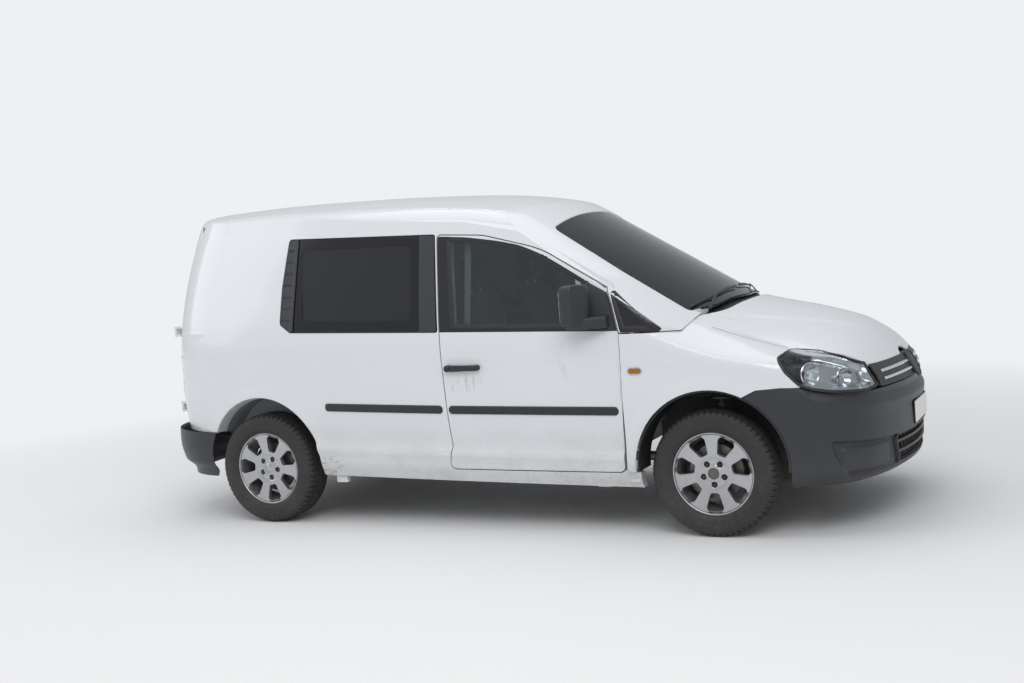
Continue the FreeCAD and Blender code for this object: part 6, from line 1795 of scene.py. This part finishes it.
HUB_PROFILE = ((0.0, -0.034), (0.026, -0.034), (0.028, -0.038), (0.060, -0.042), (0.062, -0.060),
               (0.0, -0.060))


def bolt_places(turn):
    """Places of the bolts round the hub."""
    angles = [turn + 2 * math.pi * i / BOLTS - math.pi / 2 for i in range(BOLTS)]
    return [BOLT_CIRCLE * np.array((math.cos(a), math.sin(a))) for a in angles]


def wheel_nets(axle, turn, capped):
    """Barrel, face with windows and bolt holes, and for the rear a bare cap over the hub."""
    loops = [ring(FACE_RADIUS, 160)]
    for i in range(SPOKES):
        a = turn + 2 * math.pi * i / SPOKES
        spin = np.array(((math.cos(a), math.sin(a)), (-math.sin(a), math.cos(a))))
        loops.append(rounded(WINDOW, step=0.004) @ spin)
    loops += [at + ring(BOLT_HOLE, 36) for at in bolt_places(turn)]
    loops.append(ring(HUB_BORE, 36))
    nets = [shell_mesh(loops, WheelFace(axle), FACE_THICKNESS, FACE_NET, bevel=2.0),
            turned(RIM_PROFILE, (axle, RIM_FACE, AXLE_HEIGHT), count=144)]
    if capped:
        nets.append(turned(CAP_PROFILE, (axle, RIM_FACE, AXLE_HEIGHT), count=64))
    return nets


def bolt_nets(axle, turn):
    """Five bolts in their holes."""
    return [turned(BOLT_PROFILE, (axle + at[0], RIM_FACE, AXLE_HEIGHT + at[1]), count=24)
            for at in bolt_places(turn)]


REAR_WHEEL_TURN = math.radians(9.0)
for name, axle, turn, capped in (("front", FRONT_AXLE, 0.0, False),
                                 ("rear", REAR_AXLE, REAR_WHEEL_TURN, True)):
    body = "roller_" + name + "_{}"
    both_sides(f"tyre_{name}", [tyre_net(axle)], tyre_rubber, body, "tyre_" + name + "_{}", sharp=50.0)
    both_sides(f"wheel_{name}", wheel_nets(axle, turn, capped), alloy, body, "wheel_" + name + "_{}")
    both_sides(f"wheel_bolts_{name}", bolt_nets(axle, turn), black_plastic, body)
    place_of_hub = (axle, RIM_FACE, AXLE_HEIGHT)
    both_sides(f"brake_disc_{name}", [turned(DISC_PROFILE, place_of_hub, count=96)], brake_steel, body)
    both_sides(f"hub_{name}", [turned(HUB_PROFILE, place_of_hub, count=48)], black_plastic, body)


# %% [markdown]
# ## Bumper intake, grille bars and badge
# The lower intake is an opening with slats and short ribs in front of a dark back. The grille carries two
# bright bars, and the badge's place on the nose keeps a plain round disc.

# %% Intake and grille
INTAKE_BACK, INTAKE_WALL = 0.045, 0.004
# section of the tunnel behind the opening: distance outwards, height
TUNNEL_SECTION = ((0.0, -0.0045), (0.0, -0.044), (-0.006, -0.044), (-0.006, -0.0045))
# columns: height of a slat, half its length
SLATS = ((0.404, 0.414), (0.353, 0.395))
SLAT_SECTION = ((-0.0075, -0.014), (-0.006, -0.0115), (0.006, -0.0115), (0.0075, -0.014), (0.006, -0.034),
                (-0.006, -0.034))
RIB_SECTION = ((-0.0028, -0.024), (0.0028, -0.024), (0.0028, -0.038), (-0.0028, -0.038))
intake_loop = grown(INTAKE, 0.012)
panel("intake_back", [intake_loop], front_band, INTAKE_BACK, 0.025, chassis_black, "chassis",
      relief=raised(-INTAKE_BACK + INTAKE_WALL))
net_piece("intake_tunnel", [bead(front_band, intake_loop, TUNNEL_SECTION)], bumper_plastic, "chassis")
slats = []
for z, reach in SLATS:
    run = np.stack([np.linspace(-reach, reach, 60), np.full(60, z)], 1)
    slats.append(rail(front_band, run, SLAT_SECTION))
for y in np.arange(-0.36, 0.361, 0.045):
    run = np.stack([np.full(10, y), np.linspace(0.302, 0.440, 10)], 1)
    slats.append(rail(front_band, run, RIB_SECTION))
net_piece("intake_slats", slats, black_plastic, "chassis")

BAR_SECTION = ((-0.0062, -0.0008), (-0.0058, 0.0032), (-0.0035, 0.0052), (0.0, 0.0058), (0.0035, 0.0052),
               (0.0058, 0.0032), (0.0062, -0.0008))
# columns: height of a bar, its inner end, its outer end
BARS = ((0.7715, 0.098, 0.470), (0.7355, 0.098, 0.474))
bars = []
for z, inner, outer in BARS:
    for sign in (-1.0, 1.0):
        y = np.linspace(inner, outer, 60) * sign
        bars.append(rail(front_band, np.stack([y, z - 0.004 * (np.abs(y) / outer) ** 3], 1), BAR_SECTION))
net_piece("grille_bars", bars, bright_metal, "chassis")

BADGE_AXIS = np.array((0.904, 0.0, 0.427))
badge_foot = seen_from_front([(0.0, 0.748)], front_band_distance)[0] - BADGE_AXIS * 0.004
BADGE_RIM = ((0.0, 0.0), (0.0765, 0.0), (0.0775, 0.006), (0.0745, 0.0115), (0.0715, 0.0125), (0.0690, 0.0105),
             (0.0680, 0.0075), (0.0, 0.0075))
BADGE_DOME = ((0.0, 0.0120), (0.0200, 0.0116), (0.0420, 0.0104), (0.0580, 0.0088), (0.0655, 0.0078),
              (0.0660, 0.0068), (0.0, 0.0068))
net_piece("badge_rim", [turned(BADGE_RIM, badge_foot, BADGE_AXIS, 96)], black_plastic, "chassis")
net_piece("badge_disc", [turned(BADGE_DOME, badge_foot, BADGE_AXIS, 96)], grille_plastic, "chassis",
          sharp=60.0)

PLATE = ((-0.180, 0.461, 0.006), (0.180, 0.461, 0.006), (0.180, 0.569, 0.006), (-0.180, 0.569, 0.006))
PLATE_FACE, PLATE_WALL, HOLDER_EDGE, HOLDER_BACK = 2.2015, 0.0030, 0.004, 0.0180


class FlatFront:
    """Upright plane ahead of the bumper, at (y, z)."""

    def surface(self, uv, depth=0.0):
        """Points of the plane a depth behind it."""
        return np.stack([PLATE_FACE - depth + 0 * uv[:, 0], uv[:, 0], uv[:, 1]], 1)


panel("front_plate", [rounded(PLATE)], FlatFront(), PLATE_WALL, BOX_NET, plate_white, "chassis", bevel=0.35)
panel("front_plate_holder", [grown(PLATE, HOLDER_EDGE)], FlatFront(), HOLDER_BACK, BOX_NET, black_plastic,
      "chassis", relief=raised(-PLATE_WALL), bevel=0.6)

# %% [markdown]
# ## Lamps
# A headlamp is a tray behind its lens. Its floor sinks away from the edge, and two bowls with bulbs stand in
# it: a dark chamber at the rear and a bright one towards the middle of the van.

# %% Headlamps
TRAY_LIP, TRAY_DEPTH, TRAY_RAMP, TRAY_FOOT = 0.0075, 0.040, 0.030, 0.004
TRAY_BACK, TRAY_NET = 0.055, 0.009
BRIGHT_START, BRIGHT_EDGE = 1.795, 0.01
CHAMBER_DARK = (0.020, 0.021, 0.023, 1.0)


def chamber_finish():
    """Dark at the rear of the lamp and bright towards the grille."""
    material = finish("lamp chamber", (0.70, 0.71, 0.72), (0.62, 0.63, 0.64), 0.24, 0.0, None, Metallic=0.85)
    tree = material.node_tree
    body = node_of(material, "BsdfPrincipled")
    base = body.inputs["Base Color"]
    x = put(tree, "SeparateXYZ", {0: place(tree)}).outputs["X"]
    bright = ramp(tree, x, BRIGHT_START - BRIGHT_EDGE, BRIGHT_START + BRIGHT_EDGE)
    tree.links.new(blended(tree, bright, CHAMBER_DARK, base.links[0].from_socket), base)
    tree.links.new(bright, body.inputs["Metallic"])
    return material


lamp_chamber = chamber_finish()
lamp_loop = on_side(HEADLAMP_OUTLINE, chart=wing_side)
tray_loop = inset(lamp_loop, 0.003, True)


def tray_relief(uv):
    """Floor of the tray: a narrow lip, then a smooth fall."""
    return -(TRAY_LIP + TRAY_DEPTH * smooth_step(TRAY_FOOT, TRAY_RAMP, edge_distance(uv, tray_loop)))


twins("headlamp_tray", [tray_loop], wing_side, TRAY_BACK, TRAY_NET, lamp_chamber,
      relief=tray_relief, bevel=0.3)
RING_SECTION = ((-0.0004, -0.0036), (-0.0006, 0.0005), (-0.0080, 0.0005), (-0.0086, -0.0036))
both_sides("headlamp_ring", [bead(wing_side, lamp_loop, RING_SECTION)], black_plastic, "chassis")

# columns: place on the side (x, z), distance behind the skin, radius, depth of the bowl
BOWLS = (((1.822, 0.797), 0.020, 0.052, 0.036), ((1.962, 0.768), 0.018, 0.043, 0.030))
BOWL_AXIS = (0.80, 0.58, 0.06)
# columns: share of the bowl's radius, height
BOWL_RIM = ((0.98, -0.001), (1.03, 0.002), (1.09, -0.001), (1.03, -0.004))
# columns: radius of the bulb, share of the bowl's depth
BULB = ((0.0, 0.10), (0.005, 0.13), (0.0075, 0.3), (0.0075, 0.7), (0.010, 0.8), (0.0, 0.95))
bowls, bulbs, rims = [], [], []
for at, behind, radius, depth in BOWLS:
    mouth = seen_from_side([at], lambda x, y, z: nose_distance(x, y, z) + behind)[0]
    share = np.linspace(0.0, 1.0, 14)
    curve = np.stack([radius * share, -depth * (1 - share ** 2)], 1)
    bowl = np.concatenate([curve, curve[::-1] * (1.02, 1.0) - (0.0, 0.002)])
    bowls.append(turned(bowl, mouth, BOWL_AXIS, 64))
    rims.append(turned([(radius * part, height) for part, height in BOWL_RIM], mouth, BOWL_AXIS, 64))
    bulbs.append(turned([(wide, -depth * part) for wide, part in BULB], mouth, BOWL_AXIS, 32))
both_sides("headlamp_bowls", bowls, bright_metal, "chassis", sharp=60.0)
both_sides("headlamp_rims", rims, bright_metal, "chassis", sharp=60.0)
both_sides("headlamp_bulbs", bulbs, mirror_glass, "chassis")

# %% [markdown]
# ## Wipers and cabin
# Two wipers lie at the foot of the screen. Behind the glass are two cloth seats, each a base, a cushion, a
# back and a head restraint, and a light trim on each pillar.

# %% Wipers
WIPERS = (((1.186, -0.600), (1.235, -0.360), (1.262, -0.02)),
          ((1.256, 0.060), (1.232, 0.330), (1.178, 0.560)))
WIPER_BOW = 0.006
BLADE_SECTION = ((-0.0010, 0.0020), (-0.0040, 0.0070), (-0.0055, 0.0100), (0.0055, 0.0105), (0.0040, 0.0070),
                 (0.0010, 0.0020))
ARM_SECTION = ((-0.0050, 0.0110), (-0.0040, 0.0160), (0.0040, 0.0160), (0.0050, 0.0110))
blades, arms = [], []
for run in WIPERS:
    t = np.linspace(0.0, 2.0, 50)
    path = np.stack([np.interp(t, (0, 1, 2), [p[k] for p in run]) for k in (0, 1)], 1)
    path[:, 0] += WIPER_BOW * np.sin(t * math.pi / 2)
    blades.append(rail(screen_face, path, BLADE_SECTION))
    low, high = path[2], path[26]
    arm_run = np.stack([np.linspace(low[0] + 0.075, high[0] + 0.004, 30),
                        np.linspace(low[1] + 0.05 * np.sign(high[1] - low[1]), high[1], 30)], 1)
    arms.append(rail(screen_face, arm_run, ARM_SECTION))
net_piece("wiper_blades", blades, black_plastic, "chassis")
net_piece("wiper_arms", arms, black_plastic, "chassis")

# %% [markdown]
# A dark box behind each wheel hides the ends of the body's cavities. Its upper part stands where a real inner
# liner is. Lower down it is painted shade: a dark sheet where, under the van and inside the arches, there is
# only shadow.

# %% Inner arch liners and painted shade
# painted shade: dark boxes inboard of the wheels, partly a real liner, mostly standing in for the shadow
# under the van
LINER_AND_SHADE_BOXES = (((0.940, 0.452, 0.215), (1.700, 0.466, 0.650)), ((-1.660, 0.470, 0.215), (-1.020, 0.484, 0.500)))
liner_and_shade_boxes = [tube(soft_box(low, high, 14.0, 16, 40)[0]) for low, high in LINER_AND_SHADE_BOXES]
both_sides("arch_liner_and_shade_box", liner_and_shade_boxes, chassis_black, "chassis")

# %% [markdown]
# A seat is a base, two cushions and a head restraint on two posts. The cushions are soft boxes with a crown.

# %% Seats
SEAT_Y = 0.370
CUSHION_POWER, CUSHION_ROWS, CUSHION_COLUMNS, BASE_POWER = 4.5, 40, 80, 14.0
POST_FOOT, POST_GAP = (-0.150, 1.240), 0.060
POST_PROFILE = ((0.0, 0.0), (0.007, 0.0), (0.007, 0.060), (0.0, 0.060))
SEAT_BASE = ((0.020, -0.200, 0.378), (0.470, 0.200, 0.558))


def cushion(low, high, crown, lean):
    """Soft box with a crowned top, leaning back by a slope."""
    points, unit = soft_box(low, high, CUSHION_POWER, CUSHION_ROWS, CUSHION_COLUMNS)
    middle = (np.array(low) + np.array(high)) / 2
    half = (np.array(high) - np.array(low)) / 2
    across = (points[..., 1] - middle[1]) / half[1]
    level = (points[..., 2] - middle[2]) / half[2]
    points[..., 2] -= crown * (1 - across ** 2) * np.clip(unit[..., 2], 0, 1) * 0.6
    points[..., 0] -= lean * (points[..., 2] - low[2])
    front = np.clip(unit[..., 0], 0, 1)
    points[..., 0] -= crown * 0.5 * front * (1 - np.clip(across, -1, 1) ** 2) * (1 - level ** 2)
    return tube(points)


# columns: name, low corner, high corner, crown, lean
SEAT_FORMS = (("seat_cushion", (-0.020, -0.245, 0.5583), (0.556, 0.245, 0.704), 0.016, 0.0),
              ("seat_back", (-0.110, -0.240, 0.600), (-0.0205, 0.240, 1.262), 0.014, 0.105),
              ("head_restraint", (-0.196, -0.130, 1.276), (-0.104, 0.130, 1.452), 0.008, 0.0))
hidden = ("seats",)
for side, sign in SIDES:
    y = sign * SEAT_Y
    shift = np.array((0.0, y, 0.0))
    for name, low, high, crown, lean in SEAT_FORMS:
        form = cushion(np.array(low) + shift, np.array(high) + shift, crown, lean)
        piece = net_piece(f"{name}_{side}", [form], seat_fabric, "chassis", hidden, sharp=70.0)
        hidden = ()
    base = soft_box(np.array(SEAT_BASE[0]) + shift, np.array(SEAT_BASE[1]) + shift, BASE_POWER)[0]
    posts = [turned(POST_PROFILE, (POST_FOOT[0], y + d, POST_FOOT[1]), UPWARDS, 24)
             for d in (-POST_GAP, POST_GAP)]
    net_piece(f"seat_base_{side}", [tube(base)], dash_plastic, "chassis")
    net_piece(f"head_restraint_posts_{side}", posts, bright_metal, "chassis")

BELT_STRIP = ((-0.040, 0.690, 1.060), (-0.004, 0.702, 1.550))
BELT_LEAN, BELT_SHIFT = 0.190, 0.060
belt = soft_box(*BELT_STRIP, 9.0, 20, 40)[0]
belt[..., 1] -= BELT_LEAN * (belt[..., 2] - BELT_STRIP[0][2])
belt[..., 1] += BELT_SHIFT
both_sides("pillar_trim", [tube(belt)], light_trim, "chassis")

# %% [markdown]
# ## Studio
# A plain pale floor that meets a pale world, and three large lamps that leave soft, long highlights.

# %% Floor, lamps and world
FLOOR_HALF = 40.0
BACKGROUND = (0.86, 0.87, 0.88, 1.0)
SKY, SKY_STRENGTH = (0.78, 0.80, 0.83, 1.0), 0.68
FADE_START, FADE_END = 2.9, 6.5


def studio_floor_finish():
    """Pale matt floor that turns into the background's own colour far from the van."""
    material = finish("studio floor", (0.80, 0.80, 0.80), (0.78, 0.78, 0.78), 0.85, 0.0)
    tree = material.node_tree
    end = node_of(material, "OutputMaterial").inputs["Surface"]
    matt = end.links[0].from_socket
    reach = put(tree, "VectorMath", {0: place(tree)}, operation="LENGTH").outputs["Value"]
    far = ramp(tree, reach, FADE_START, FADE_END)
    path = put(tree, "LightPath").outputs
    seen_ray = put(tree, "Math", {0: path["Is Camera Ray"], 1: path["Is Glossy Ray"]}, operation="MAXIMUM")
    glow = put(tree, "Emission", {"Color": BACKGROUND, "Strength": 1.0})
    mixed = put(tree, "MixShader", {0: times(tree, far, seen_ray.outputs[0]), 1: matt, 2: glow.outputs[0]})
    tree.links.new(mixed.outputs[0], end)
    return material


floor_colour = studio_floor_finish()
floor = new_piece("studio_floor", [(-FLOOR_HALF, -FLOOR_HALF, 0), (FLOOR_HALF, -FLOOR_HALF, 0),
                                   (FLOOR_HALF, FLOOR_HALF, 0), (-FLOOR_HALF, FLOOR_HALF, 0)],
                  [(0, 1, 2, 3)], floor_colour, "chassis")
floor.parent = None

# columns: name, place, aimed at, size in metres, power in watts
LAMPS = (
    ("key", (3.5, -6.5, 6.5), (0.3, 0.0, 0.6), (6.0, 4.0), 270.0),
    ("sky", (-1.0, 0.0, 7.5), (0.0, 0.0, 0.0), (9.0, 6.0), 190.0),
    ("rear_fill", (-7.0, -3.5, 4.0), (-1.0, 0.0, 0.8), (5.0, 4.0), 100.0),
)
for lamp_name, spot, aim, size, power in LAMPS:
    light = bpy.data.lights.new(lamp_name, "AREA")
    light.shape = "RECTANGLE"
    light.size, light.size_y = size
    light.energy = power
    lamp = bpy.data.objects.new(lamp_name, light)
    lamp.location = spot
    lamp.rotation_euler = (Vector(aim) - Vector(spot)).to_track_quat("-Z", "Y").to_euler()
    scene.collection.objects.link(lamp)

world = bpy.data.worlds.new("studio")
scene.world = world
world.use_nodes = True
world.node_tree.nodes.clear()
sky = put(world.node_tree, "Background", {"Color": SKY, "Strength": SKY_STRENGTH})
white = put(world.node_tree, "Background", {"Color": BACKGROUND, "Strength": 1.0})
seen = put(world.node_tree, "LightPath").outputs["Is Camera Ray"]
both = put(world.node_tree, "MixShader", {0: seen, 1: sky.outputs[0], 2: white.outputs[0]})
put(world.node_tree, "OutputWorld", {"Surface": both.outputs[0]})
